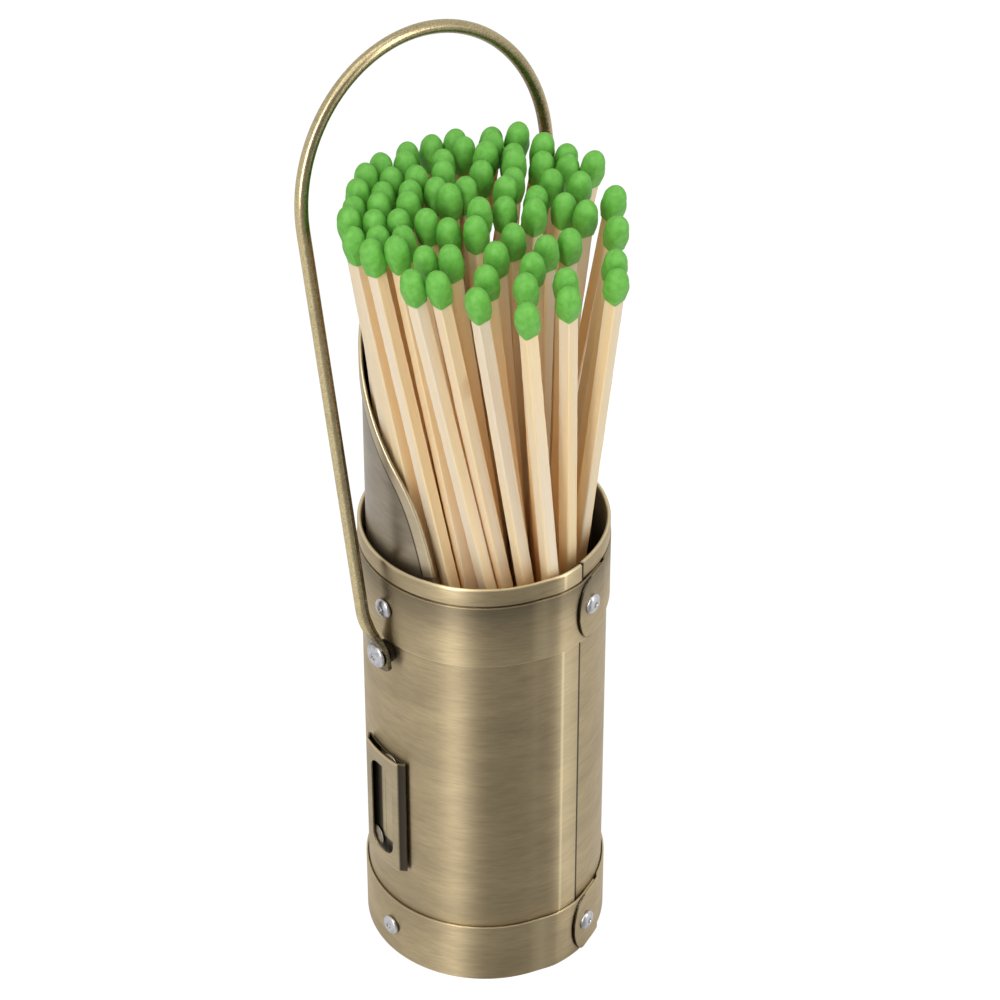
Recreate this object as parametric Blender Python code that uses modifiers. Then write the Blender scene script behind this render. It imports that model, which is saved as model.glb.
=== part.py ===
"""Match holder: a riveted sheet metal tube with a raised hood, a wire bail and a filling of long matches.

Metres, +Z up. The origin is at the middle of the base. The bail turns about a line along X,
the hood stands at +Y, and the low front of the rim looks towards -Y. An azimuth is counted
from the front (-Y) towards +X, in degrees.
"""

import math

import bmesh
import bpy
import numpy as np
from mathutils import Matrix, Vector

# Sheet and fits
SHEET = 0.0004
SEAT_GAP = 0.0003
LAP_GAP = 0.0001

# Tube
TUBE_RADIUS = 0.0280
TUBE_HEIGHT = 0.1175
TUBE_SEAM = 8.8
TUBE_LAP = 10.0
TUBE_JOGGLE = 2.0
HEM_DEPTH = 0.0044
HEM_OPEN = 0.00015

# Bands around the tube
BAND_HEIGHT = 0.0165
BAND_END = 6.1
BAND_LAP = 20.0
BAND_JOGGLE = 3.0
BAND_ROUNDING = 8.0
COLLAR_UNDER_HEM = 0.0006

# Pan that closes the bottom
PAN_OVER_RIVET = 0.0036
PAN_CORNER = 0.0012

# Hood
HOOD_INSET = 0.00175
HOOD_BACK_GAP = 0.00045
HOOD_RISE = 0.0273
HOOD_SLANT = 0.0291
HOOD_END = 118.0
HOOD_DROP_START = 95.0
HOOD_DROP = 0.0140
HOOD_HEM = 0.0031

# Rivets
RIVET_HEAD_RADIUS = 0.0024
PIVOT_HEAD_RADIUS = 0.0029
RIVET_HEAD_HEIGHT = 0.0011
RIVET_SHANK = 0.0012
RIVET_HOLE = 0.0015
RIVET_TAIL_RADIUS = 0.0019
RIVET_TAIL_LENGTH = 0.0010
COLLAR_RIVET_RISE = 0.0006
LAP_RIVET_INSET = 9.3

# Slotted bracket on the left side
BRACKET_AZIMUTH = -93.2
BRACKET_WIDTH = 0.0126
BRACKET_FLARE = 2.4
BRACKET_BOTTOM = 0.0290
BRACKET_HEIGHT = 0.0330
BRACKET_STAND_OFF = 0.0015
BRACKET_CORNER = 0.0004
BRACKET_JOINT = 0.0004
SLOT_ASIDE = 1.8
SLOT_WIDTH = 0.0068
SLOT_RISE = 0.0059
SLOT_HEIGHT = 0.0222
SLOT_ROUNDING = 0.0022
FLAT_RIVET_RADIUS = 0.0026
FLAT_RIVET_HEIGHT = 0.0005
UPPER_RIVET_ASIDE = 5.7
UPPER_RIVET_DROP = 0.0022
LOWER_RIVET_ASIDE = -6.2
LOWER_RIVET_RISE = 0.0048

# Bail
PIVOT_UNDER_COLLAR = 0.0036
BAIL_LEAN = 10.3
BAIL_SPLAY = 0.0023
BAIL_UNDER_MATCHES = 0.0046
WIRE_RADIUS = 0.0015
BEND_RISE = 0.0089
EYE_THICKNESS = 0.0014
EYE_WIDTH = 0.0062
EYE_BELOW = 0.0036
EYE_ABOVE = 0.0058
SPACER_LENGTH = 0.0010
SPACER_RADIUS = 0.0028

# Matches
MATCH_LENGTH = 0.2025
STICK_SIDE = 0.0030
HEAD_RADIUS = 0.0024
HEAD_LENGTH = 0.0096
MATCH_GAP = 0.0004
MATCH_UNEVEN = 0.0117
MATCH_SHORT = 0.097
MATCH_ROLL = 9.0
BUNCH_TWIST = -101.57
HEAD_SPREAD = (1.283, 1.392)
HEAD_SHIFT_X = -0.00267
HEAD_SHIFT_Y = 0.00481
OPEN_SIDE = -97.47
OPENNESS = 0.486
OPENNESS_BEHIND = 0.403
HEAD_SCATTER = 0.00239
WELL_SIDE = 0.0068
WELL_EDGE = 0.0010
HEAD_ZONE = 0.0065
HEAD_DROP = 0.0010
HEAD_ABOVE = 0.0050
BUNCH_SEED = 5
BUNCH_ROUNDS = 260
EASE = 0.45
SOLID_MATCHES = 39

# A turned square stick takes about this many sides from its middle. Two shares that never repeat
STICK_ROUND = 0.633
STAGGER_PAIRS = 0.382
STAGGER_WALLS = 0.618

# Sizes that follow from the ones above
TUBE_MID = TUBE_RADIUS - SHEET / 2
TUBE_INNER = TUBE_RADIUS - SHEET
LAP_STEP = SHEET + LAP_GAP
BAND_MID = TUBE_RADIUS + SEAT_GAP + SHEET / 2
BAND_OUTER = BAND_MID + SHEET / 2
LAP_RIVET = BAND_END + LAP_RIVET_INSET
BASE_RIVET_HEIGHT = BAND_HEIGHT / 2
PAN_OUTER = TUBE_INNER - SEAT_GAP
PAN_INNER = PAN_OUTER - SHEET
PAN_FLOOR = SHEET
PAN_TOP = BASE_RIVET_HEIGHT + PAN_OVER_RIVET
HEM_FOLD = SHEET / 2 + HEM_OPEN / 2
HEM_BOTTOM = TUBE_HEIGHT - HEM_DEPTH
COLLAR_TOP = HEM_BOTTOM - COLLAR_UNDER_HEM
COLLAR_BOTTOM = COLLAR_TOP - BAND_HEIGHT
COLLAR_RIVET_HEIGHT = COLLAR_BOTTOM + BAND_HEIGHT / 2 + COLLAR_RIVET_RISE
HOOD_RADIUS = TUBE_INNER - HOOD_INSET
HOOD_SHIFT = HOOD_INSET - HOOD_BACK_GAP
HOOD_MID = HOOD_RADIUS - SHEET / 2
HOOD_INNER = HOOD_RADIUS - SHEET
HOOD_BOTTOM = COLLAR_BOTTOM - SHEET
HOOD_MEAN_HEIGHT = TUBE_HEIGHT + HOOD_RISE
BRACKET_BACK = TUBE_RADIUS + SEAT_GAP + SHEET / 2
BRACKET_FRONT = BRACKET_BACK + BRACKET_STAND_OFF
PIVOT_HEIGHT = COLLAR_BOTTOM - PIVOT_UNDER_COLLAR
SPACER_INNER = TUBE_RADIUS + SEAT_GAP
EYE_INNER = SPACER_INNER + SPACER_LENGTH + SEAT_GAP
EYE_OUTER = EYE_INNER + EYE_THICKNESS
BAIL_HALF_WIDTH = EYE_OUTER + BAIL_SPLAY
BAIL_LEG = MATCH_LENGTH - PIVOT_HEIGHT - BAIL_UNDER_MATCHES
BEND_START = PIVOT_HEAD_RADIUS + 3 * SEAT_GAP
BEND_END = BEND_START + BEND_RISE
FOOT_SPACING = 1.55 * STICK_SIDE + MATCH_GAP
FOOT_SPREAD = PAN_INNER - 1.4 * STICK_SIDE
HEAD_CENTRE = MATCH_LENGTH - 2.2 * HEAD_RADIUS
HALF_DIAGONAL = STICK_SIDE * math.sqrt(0.5)

# Colours: base colour, metallic, roughness
BRASS = ((0.33, 0.27, 0.15), 1.0, 0.38)
LACQUERED_BRASS = ((0.30, 0.26, 0.17), 1.0, 0.42)
ALUMINIUM = ((0.78, 0.78, 0.79), 1.0, 0.30)
BASSWOOD = ((0.80, 0.62, 0.38), 0.0, 0.70)

OBJECT_NAME = "match_holder"


def clear_scene():
    for old in list(bpy.data.objects):
        bpy.data.objects.remove(old, do_unlink=True)


def new_collection(name):
    collection = bpy.data.collections.new(name)
    bpy.context.scene.collection.children.link(collection)
    return collection


def new_material(name, finish):
    colour, metallic, roughness = finish
    material = bpy.data.materials.new(name)
    material.use_nodes = True
    shader = material.node_tree.nodes["Principled BSDF"]
    shader.inputs["Base Color"].default_value = (*colour, 1.0)
    shader.inputs["Metallic"].default_value = metallic
    shader.inputs["Roughness"].default_value = roughness
    return material


def new_object(name, mesh, collection, material=None):
    thing = bpy.data.objects.new(name, mesh)
    collection.objects.link(thing)
    if material and not mesh.materials:
        mesh.materials.append(material)
    return thing


def smooth(thing, angle=35.0):
    thing.data.shade_smooth()
    thing.data.set_sharp_from_angle(angle=math.radians(angle))


def polar(azimuth, radius, height):
    turn = math.radians(azimuth)
    return Vector((radius * math.sin(turn), -radius * math.cos(turn), height))


def degrees_of(length, radius):
    return math.degrees(length / radius)


def ramp(value, start, end):
    """0 before start, 1 past end, and smooth in between."""
    share = min(1.0, max(0.0, (value - start) / (end - start)))
    return share * share * (3 - 2 * share)


def steps(start, end, spacing):
    """Values from start to end, evenly spaced by about the given spacing."""
    count = max(1, round(abs(end - start) / spacing))
    return [start + (end - start) * i / count for i in range(count + 1)]


def sheet_from(name, columns, kept=lambda column, row: True):
    """An open sheet through columns of points. kept says which of its panels exist."""
    mesh = bpy.data.meshes.new(name)
    shape = bmesh.new()
    rows = len(columns[0])
    grid = [[shape.verts.new(point) for point in column] for column in columns]
    for i in range(len(columns) - 1):
        for j in range(rows - 1):
            if kept(i, j):
                shape.faces.new((grid[i][j], grid[i + 1][j], grid[i + 1][j + 1], grid[i][j + 1]))
    loose = [v for v in shape.verts if not v.link_faces]
    bmesh.ops.delete(shape, geom=loose, context="VERTS")
    bmesh.ops.recalc_face_normals(shape, faces=shape.faces)
    shape.to_mesh(mesh)
    shape.free()
    return mesh


def thicken(thing, thickness=SHEET):
    solid = thing.modifiers.new("sheet", "SOLIDIFY")
    solid.thickness = thickness
    solid.offset = 0.0
    solid.use_even_offset = True


def cut(thing, cutter):
    hole = thing.modifiers.new(f"cut {cutter.name}", "BOOLEAN")
    hole.operation = "DIFFERENCE"
    hole.solver = "EXACT"
    hole.object = cutter


def make_cutter(name, mesh, collection):
    cutter = new_object(name, mesh, collection)
    cutter.hide_render = True
    cutter.display_type = "WIRE"
    return cutter


def outward(azimuth, radius, height):
    """Placement whose local Z points out of the tube at an azimuth, and local Y up."""
    place = polar(azimuth, radius, height)
    out = polar(azimuth, 1.0, 0.0)
    side = Vector((0, 0, 1)).cross(out)
    turn = Matrix((side, Vector((0, 0, 1)), out)).transposed()
    return Matrix.Translation(place) @ turn.to_4x4()


def drill(azimuth, height, inner, outer, collection, radius=RIVET_HOLE):
    """A round cutter through every sheet between two radii."""
    name = f"drill {azimuth:.0f} {height * 1000:.0f}"
    mesh = bpy.data.meshes.new(name)
    shape = bmesh.new()
    bmesh.ops.create_cone(
        shape, cap_ends=True, segments=16, radius1=radius, radius2=radius, depth=outer - inner)
    shape.to_mesh(mesh)
    shape.free()
    cutter = make_cutter(name, mesh, collection)
    cutter.matrix_world = outward(azimuth, (inner + outer) / 2, height)
    return cutter


# Tube

def tube_radius(azimuth):
    """Mid radius of the rolled sheet: its outer end steps out to lie over its inner end."""
    lap_start = 360 + TUBE_SEAM - TUBE_LAP
    return TUBE_MID + LAP_STEP * ramp(azimuth, lap_start - TUBE_JOGGLE, lap_start)


def make_tube(collection, material):
    """One sheet rolled with a lap seam, its top edge folded outwards into a flat hem."""
    start = TUBE_SEAM - TUBE_LAP + 1.0
    lap_start = 360 + TUBE_SEAM - TUBE_LAP
    hem_start = TUBE_SEAM + 0.5
    azimuths = steps(start, hem_start, 5.0)
    azimuths += steps(hem_start, lap_start - TUBE_JOGGLE, 5.0)[1:]
    azimuths += steps(lap_start - TUBE_JOGGLE, lap_start, 0.7)[1:]
    azimuths += steps(lap_start, 360 + TUBE_SEAM, 5.0)[1:]
    columns = []
    for azimuth in azimuths:
        radius = tube_radius(azimuth)
        fold_height = TUBE_HEIGHT - SHEET / 2 - HEM_FOLD
        column = [polar(azimuth, radius, 0.0), polar(azimuth, radius, fold_height)]
        for angle in (135, 45, 0):
            turn = math.radians(angle)
            column.append(polar(
                azimuth, radius + HEM_FOLD * (1 + math.cos(turn)), fold_height + HEM_FOLD * math.sin(turn)))
        column.append(polar(azimuth, radius + 2 * HEM_FOLD, HEM_BOTTOM))
        columns.append(column)
    hemmed = azimuths.index(hem_start)
    mesh = sheet_from("body_tube", columns, lambda column, row: row < 1 or column >= hemmed)
    tube = new_object("body_tube", mesh, collection, material)
    thicken(tube)
    return tube


# Bands

def band_radius(azimuth):
    """Mid radius of a band whose outer end laps over its inner end and steps over the tube's seam."""
    around = (azimuth + 180) % 360 - 180
    climb_end = TUBE_SEAM - TUBE_LAP - TUBE_JOGGLE
    over_seam = ramp(around, climb_end - BAND_JOGGLE, climb_end)
    over_seam -= ramp(around, TUBE_SEAM, TUBE_SEAM + BAND_JOGGLE)
    lap_end = BAND_END + BAND_LAP + 2.0
    outer_end = 1 - ramp(azimuth, lap_end, lap_end + BAND_JOGGLE)
    return BAND_MID + LAP_STEP * (over_seam + outer_end)


def make_band(name, bottom, collection, material):
    """A strip around the tube with one rounded end, riveted over the other end."""
    middle, half = bottom + BAND_HEIGHT / 2, BAND_HEIGHT / 2
    lap_end = BAND_END + BAND_LAP + 2.0
    climb_end = 360 + TUBE_SEAM - TUBE_LAP - TUBE_JOGGLE
    angles = [math.radians(a) for a in (14, 28, 42, 56, 72, 90)]
    azimuths = [BAND_END + BAND_ROUNDING * (1 - math.cos(a)) for a in angles]
    halves = [half * math.sin(a) for a in angles]
    tail = steps(BAND_END + BAND_ROUNDING, lap_end, 4.0)[1:]
    tail += steps(lap_end, lap_end + BAND_JOGGLE, 1.0)[1:]
    tail += steps(lap_end + BAND_JOGGLE, climb_end - BAND_JOGGLE, 5.0)[1:]
    tail += steps(climb_end - BAND_JOGGLE, climb_end, 1.0)[1:]
    tail += steps(climb_end, 360 + TUBE_SEAM, 4.0)[1:]
    tail += steps(360 + TUBE_SEAM, 360 + TUBE_SEAM + BAND_JOGGLE, 1.0)[1:]
    tail += steps(360 + TUBE_SEAM + BAND_JOGGLE, 360 + BAND_END + BAND_LAP, 4.0)[1:]
    azimuths += tail
    halves += [half] * len(tail)
    columns = []
    for azimuth, reach in zip(azimuths, halves):
        radius = band_radius(azimuth)
        columns.append([polar(azimuth, radius, middle - reach), polar(azimuth, radius, middle + reach)])
    band = new_object(name, sheet_from(name, columns), collection, material)
    thicken(band)
    return band


# Pan

def make_pan(collection, material):
    """Pressed pan: a floor just above the table with its flange turned up inside the tube."""
    bend = [math.radians(a) for a in (0, 45, 90)]
    floor_under = PAN_FLOOR - SHEET
    outer_centre = (PAN_OUTER - PAN_CORNER, floor_under + PAN_CORNER)
    inner_radius = PAN_CORNER - SHEET
    profile = [(PAN_INNER, PAN_TOP)]
    profile += [(outer_centre[0] + inner_radius * math.cos(a), outer_centre[1] - inner_radius * math.sin(a))
                for a in bend]
    profile += [(0.0, PAN_FLOOR), (0.0, floor_under)]
    profile += [(outer_centre[0] + PAN_CORNER * math.sin(a), outer_centre[1] - PAN_CORNER * math.cos(a))
                for a in bend]
    profile += [(PAN_OUTER, PAN_TOP)]
    profile.reverse()
    pan = turned("base_pan", profile, 40, collection, material, closed=True)
    return pan


def turned(name, profile, segments, collection, material, closed=False):
    """A profile of (radius, height) points turned about Z."""
    mesh = bpy.data.meshes.new(name)
    points = [(radius, 0.0, height) for radius, height in profile]
    edges = [(i, i + 1) for i in range(len(points) - 1)]
    if closed:
        edges.append((len(points) - 1, 0))
    mesh.from_pydata(points, edges, [])
    thing = new_object(name, mesh, collection, material)
    screw = thing.modifiers.new("turn", "SCREW")
    screw.steps = segments
    screw.render_steps = segments
    screw.use_merge_vertices = True
    screw.merge_threshold = 0.00001
    screw.use_smooth_shade = True
    return thing


# Hood

def hood_edge(back):
    """Height of the hood's edge, by the angle from its middle at the back."""
    drop = max(0.0, (abs(back) - HOOD_DROP_START) / (HOOD_END - HOOD_DROP_START))
    return HOOD_MEAN_HEIGHT + HOOD_SLANT * math.cos(math.radians(back)) - HOOD_DROP * drop ** 3


def hood_point(along, height, outwards=0.0):
    """A point on the hood by its way along the sheet from the middle at the back."""
    back = along / HOOD_MID
    radius = HOOD_MID + outwards
    return Vector((radius * math.sin(back), HOOD_SHIFT + radius * math.cos(back), height))


def make_hood(collection, material):
    """A curved sheet inside the rim, high at the back, with its slanted edge folded outwards."""
    backs = steps(-HOOD_END, HOOD_END, 6.0)
    edge = [Vector((math.radians(back) * HOOD_MID, hood_edge(back))) for back in backs]
    columns = []
    for i, point in enumerate(edge):
        ahead = edge[min(i + 1, len(edge) - 1)] - edge[max(i - 1, 0)]
        inward = Vector((ahead.y, -ahead.x)).normalized()
        column = [hood_point(point.x, HOOD_BOTTOM), hood_point(point.x, min(point.y, TUBE_HEIGHT) - 0.0015)]
        for turn, rise in ((0, 0.0), (60, 0.87), (120, 0.87), (180, 0.0)):
            place = point + inward * (HEM_FOLD * (1.4 - rise))
            column.append(hood_point(place.x, place.y, HEM_FOLD * (1 - math.cos(math.radians(turn)))))
        place = point + inward * HOOD_HEM
        column.append(hood_point(place.x, place.y, 2 * HEM_FOLD))
        columns.append(column)
    hood = new_object("hood", sheet_from("hood", columns), collection, material)
    thicken(hood)
    return hood


# Rivets

def rivet_profile(grip, head_radius=RIVET_HEAD_RADIUS, head_height=RIVET_HEAD_HEIGHT):
    """Blind rivet along Z: domed head with a dimple above 0, shank and bulged tail below."""
    tail = -grip - RIVET_TAIL_LENGTH
    return [
        (0.0, head_height * 0.45), (head_radius * 0.27, head_height),
        (head_radius * 0.65, head_height * 0.85), (head_radius, 0.0),
        (RIVET_SHANK, 0.0), (RIVET_SHANK, -grip),
        (RIVET_TAIL_RADIUS, -grip - RIVET_TAIL_LENGTH * 0.2), (RIVET_TAIL_RADIUS * 0.75, tail), (0.0, tail)]


def make_rivet(name, azimuth, height, outer, inner, collection, material, **head):
    """A rivet whose head sits on radius outer and whose tail starts at radius inner."""
    seat = outer + SEAT_GAP
    grip = seat - (inner - SEAT_GAP)
    rivet = turned(name, rivet_profile(grip, **head), 12, collection, material)
    rivet.matrix_world = outward(azimuth, seat, height)
    return rivet


def hood_inner_at(azimuth):
    """Distance from the tube's axis to the inside of the hood at an azimuth."""
    across, along = math.sin(math.radians(azimuth)), -math.cos(math.radians(azimuth))
    behind = HOOD_SHIFT * along
    return behind + math.sqrt(HOOD_INNER ** 2 - (HOOD_SHIFT * across) ** 2)


# Bracket

def make_bracket(collection, cutters, material):
    """A strip folded to a flat channel with leaning sides, its ends meeting behind, a slot in its front."""
    half = degrees_of(BRACKET_WIDTH / 2 - SHEET / 2, BRACKET_FRONT)
    joint = degrees_of(BRACKET_JOINT / 2, BRACKET_BACK)
    corner = degrees_of(BRACKET_CORNER, BRACKET_FRONT)
    foot = half + BRACKET_FLARE
    right_back = [(a, BRACKET_BACK) for a in steps(joint, foot - corner, 4.0)]
    right_wall = [(foot, BRACKET_BACK + BRACKET_CORNER), (half, BRACKET_FRONT - BRACKET_CORNER)]
    front = [(a, BRACKET_FRONT) for a in steps(half - corner, -(half - corner), 4.0)]
    left = [(-a, r) for a, r in reversed(right_back + right_wall)]
    path = right_back + right_wall + front + left
    columns = [
        [polar(BRACKET_AZIMUTH + a, radius, BRACKET_BOTTOM + rise) for rise in (0.0, BRACKET_HEIGHT)]
        for a, radius in path]
    bracket = new_object("side_bracket", sheet_from("side_bracket", columns), collection, material)
    thicken(bracket)
    cut(bracket, slot_cutter(cutters))
    return bracket


def slot_cutter(cutters):
    """A block with rounded corners that passes through the front of the bracket only."""
    mesh = bpy.data.meshes.new("slot cutter")
    shape = bmesh.new()
    bmesh.ops.create_cube(shape, size=1.0)
    depth = 0.004
    bmesh.ops.scale(shape, verts=shape.verts, vec=(SLOT_WIDTH, SLOT_HEIGHT, depth))
    upright = [e for e in shape.edges if abs(e.verts[0].co.z - e.verts[1].co.z) > depth / 2]
    bmesh.ops.bevel(shape, geom=upright, offset=SLOT_ROUNDING, segments=5, profile=0.5, affect="EDGES")
    shape.to_mesh(mesh)
    shape.free()
    cutter = make_cutter("slot cutter", mesh, cutters)
    inner = (BRACKET_BACK + BRACKET_FRONT) / 2 + 0.0001
    height = BRACKET_BOTTOM + SLOT_RISE + SLOT_HEIGHT / 2
    cutter.matrix_world = outward(BRACKET_AZIMUTH + SLOT_ASIDE, inner + depth / 2, height)
    return cutter


# Bail

def bail_path():
    """Middle line of the wire in the bail's own plane: x across, z up from the pivots."""
    eye = (EYE_INNER + EYE_OUTER) / 2 + 0.0006
    leg = []
    for i in range(7):
        share = i / 6
        across = eye + (BAIL_HALF_WIDTH - eye) * ramp(share, -0.35, 1.0)
        leg.append((across, BEND_START + (BEND_END - BEND_START) * share))
    leg += [(BAIL_HALF_WIDTH, BEND_END + (BAIL_LEG - BEND_END) * share) for share in (0.33, 0.67)]
    turns = [math.radians(a) for a in steps(0, 180, 7.5)]
    arc = [(BAIL_HALF_WIDTH * math.cos(a), BAIL_LEG + BAIL_HALF_WIDTH * math.sin(a)) for a in turns]
    return leg + arc + [(-x, z) for x, z in reversed(leg)]


def curve_mesh(name, spline_points, radius, sides):
    """A wire of one bevelled polyline with filled caps, made a mesh."""
    data = bpy.data.curves.new(name, "CURVE")
    data.dimensions = "3D"
    data.bevel_depth = radius
    data.bevel_resolution = sides
    data.use_fill_caps = True
    spline = data.splines.new("POLY")
    spline.points.add(len(spline_points) - 1)
    for slot, point in zip(spline.points, spline_points):
        slot.co = (*point, 1.0)
    curve = bpy.data.objects.new(name, data)
    bpy.context.scene.collection.objects.link(curve)
    bpy.context.view_layer.update()
    graph = bpy.context.evaluated_depsgraph_get()
    mesh = bpy.data.meshes.new_from_object(curve.evaluated_get(graph))
    bpy.data.objects.remove(curve, do_unlink=True)
    shape = bmesh.new()
    shape.from_mesh(mesh)
    bmesh.ops.remove_doubles(shape, verts=shape.verts, dist=0.00001)
    bmesh.ops.recalc_face_normals(shape, faces=shape.faces)
    shape.to_mesh(mesh)
    shape.free()
    return mesh


def eye_mesh(side):
    """The wire's flattened end: square below, narrowing to the wire above, with the rivet's hole."""
    mesh = bpy.data.meshes.new(f"eye {side}")
    shape = bmesh.new()
    half = EYE_WIDTH / 2
    shoulder = [(half * math.cos(a), half * 0.7 + (EYE_ABOVE - half * 0.7) * math.sin(a))
                for a in [math.radians(d) for d in (0, 25, 50, 70)]]
    right = [(half - 0.0006, -EYE_BELOW), (half, -EYE_BELOW + 0.0006)] + shoulder
    outline = right + [(-y, z) for y, z in reversed(right)]
    low, high = sorted((side * EYE_INNER, side * EYE_OUTER))
    bottom = shape.faces.new([shape.verts.new((low, y, z)) for y, z in outline])
    pushed = bmesh.ops.extrude_face_region(shape, geom=[bottom])
    moved = [v for v in pushed["geom"] if isinstance(v, bmesh.types.BMVert)]
    bmesh.ops.translate(shape, verts=moved, vec=(high - low, 0, 0))
    bmesh.ops.recalc_face_normals(shape, faces=shape.faces)
    shape.to_mesh(mesh)
    shape.free()
    return mesh


def make_bail(collection, cutters, material):
    """Round wire bent to an arch, each end flattened and pierced for its pivot rivet."""
    wire = curve_mesh("bail", [(x, 0.0, z) for x, z in bail_path()], WIRE_RADIUS, 3)
    bail = new_object("bail", wire, collection, material)
    placement = Matrix.Translation((0, 0, PIVOT_HEIGHT)) @ Matrix.Rotation(math.radians(-BAIL_LEAN), 4, "X")
    bail.matrix_world = placement
    for side in (-1, 1):
        eye = make_cutter(f"eye {side}", eye_mesh(side), cutters)
        eye.matrix_world = placement
        join = bail.modifiers.new(f"eye {side}", "BOOLEAN")
        join.operation = "UNION"
        join.solver = "EXACT"
        join.object = eye
    return bail


# Matches

def foot_places():
    """Where the matches could stand: a hexagonal lattice that leaves a well open in the middle."""
    rows = int(FOOT_SPREAD / FOOT_SPACING) + 2
    places = []
    for j in range(-rows, rows + 1):
        for i in range(-rows, rows + 1):
            x = (i + 0.5 * (j % 2)) * FOOT_SPACING
            y = j * FOOT_SPACING * math.sqrt(0.75)
            if WELL_SIDE / 2 + WELL_EDGE < math.hypot(x, y) < FOOT_SPREAD:
                places.append((x, y))
    return np.array(places)


def pair_pushes(level, feet, heads, base, rise, half, i, j):
    """How far each pair of matches overlaps at a height, as a push from i towards j."""
    top = base + rise
    share_i, share_j = (level - base[i]) / rise[i], (level - base[j]) / rise[j]
    place_i = feet[i] + (heads[i] - feet[i]) * share_i[:, None]
    place_j = feet[j] + (heads[j] - feet[j]) * share_j[:, None]
    apart = place_j - place_i
    reach = np.hypot(apart[:, 0], apart[:, 1])
    headed_i = np.abs(level - top[i] + HEAD_DROP) < HEAD_ZONE
    headed_j = np.abs(level - top[j] + HEAD_DROP) < HEAD_ZONE
    there = (share_i > -0.01) & (share_j > -0.01)
    there &= (level < top[i] + HEAD_ABOVE) & (level < top[j] + HEAD_ABOVE)
    around = STICK_SIDE * STICK_ROUND
    needed = np.where(headed_i, HEAD_RADIUS, around) + np.where(headed_j, HEAD_RADIUS, around) + MATCH_GAP
    round_short = np.where(there & (headed_i | headed_j), needed - reach, 0).clip(0)
    square_short = half[i] + half[j] + MATCH_GAP - np.abs(apart).max(axis=1)
    square_short = np.where(there & ~headed_i & ~headed_j, square_short, 0).clip(0)
    wide = np.abs(apart[:, 0]) >= np.abs(apart[:, 1])
    push = apart / np.maximum(reach, 1e-9)[:, None] * round_short[:, None]
    push[:, 0] += np.where(wide, np.sign(apart[:, 0]), 0) * square_short
    push[:, 1] += np.where(wide, 0, np.sign(apart[:, 1])) * square_short
    return push * 0.5, share_i.clip(0, 1), share_j.clip(0, 1)


def wall_moves(level, points):
    """How far each point at a height must move to clear the tube, the hood, rivet tails and the well."""
    clear = HALF_DIAGONAL + SEAT_GAP
    tails = SEAT_GAP + RIVET_TAIL_LENGTH
    move = np.zeros_like(points)
    if level <= TUBE_HEIGHT:
        reach = np.hypot(points[:, 0], points[:, 1])
        wall = PAN_INNER if level < PAN_TOP else TUBE_INNER
        wall -= tails if level < TUBE_HEIGHT else 0.0
        move -= points * ((reach - (wall - clear)).clip(0) / reach)[:, None]
        near = np.abs(points).max(axis=1)
        short = (WELL_SIDE / 2 + STICK_SIDE * 0.575 + SEAT_GAP - near).clip(0)
        wide = np.abs(points[:, 0]) >= np.abs(points[:, 1])
        move[:, 0] += np.where(wide, np.sign(points[:, 0]), 0) * short
        move[:, 1] += np.where(wide, 0, np.sign(points[:, 1])) * short
    if level >= HOOD_BOTTOM:
        shifted = points - np.array([0, HOOD_SHIFT])
        reach = np.hypot(shifted[:, 0], shifted[:, 1])
        back = np.degrees(np.arctan2(np.abs(shifted[:, 0]), shifted[:, 1]))
        edge = HOOD_MEAN_HEIGHT + HOOD_SLANT * np.cos(np.radians(back))
        room = HOOD_INNER - clear - (tails if abs(level - COLLAR_RIVET_HEIGHT) < RIVET_TAIL_RADIUS else 0.0)
        over = np.where((level < edge + STICK_SIDE) & (back < HOOD_END + 6), (reach - room).clip(0), 0)
        move -= shifted * (over / reach)[:, None]
    return move


def keep_inside_bail(heads, top):
    """Holds the heads inside the loop that the bail sweeps as it swings over."""
    sweep = np.hypot(heads[:, 1], top - PIVOT_HEIGHT) + HEAD_RADIUS
    room = BAIL_HALF_WIDTH - WIRE_RADIUS - HEAD_RADIUS - 2 * SEAT_GAP
    span = np.sqrt((room ** 2 - (sweep - BAIL_LEG).clip(0) ** 2).clip(0))
    heads[:, 0] = heads[:, 0].clip(-span, span)
    return heads


def foot_heights(feet, heads, lengths):
    """Height of each foot's middle with its lowest corner just over the pan."""
    lean = np.abs(heads - feet).sum(axis=1) / lengths
    return PAN_FLOOR + SEAT_GAP + STICK_SIDE / 2 * lean * 1.15


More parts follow.
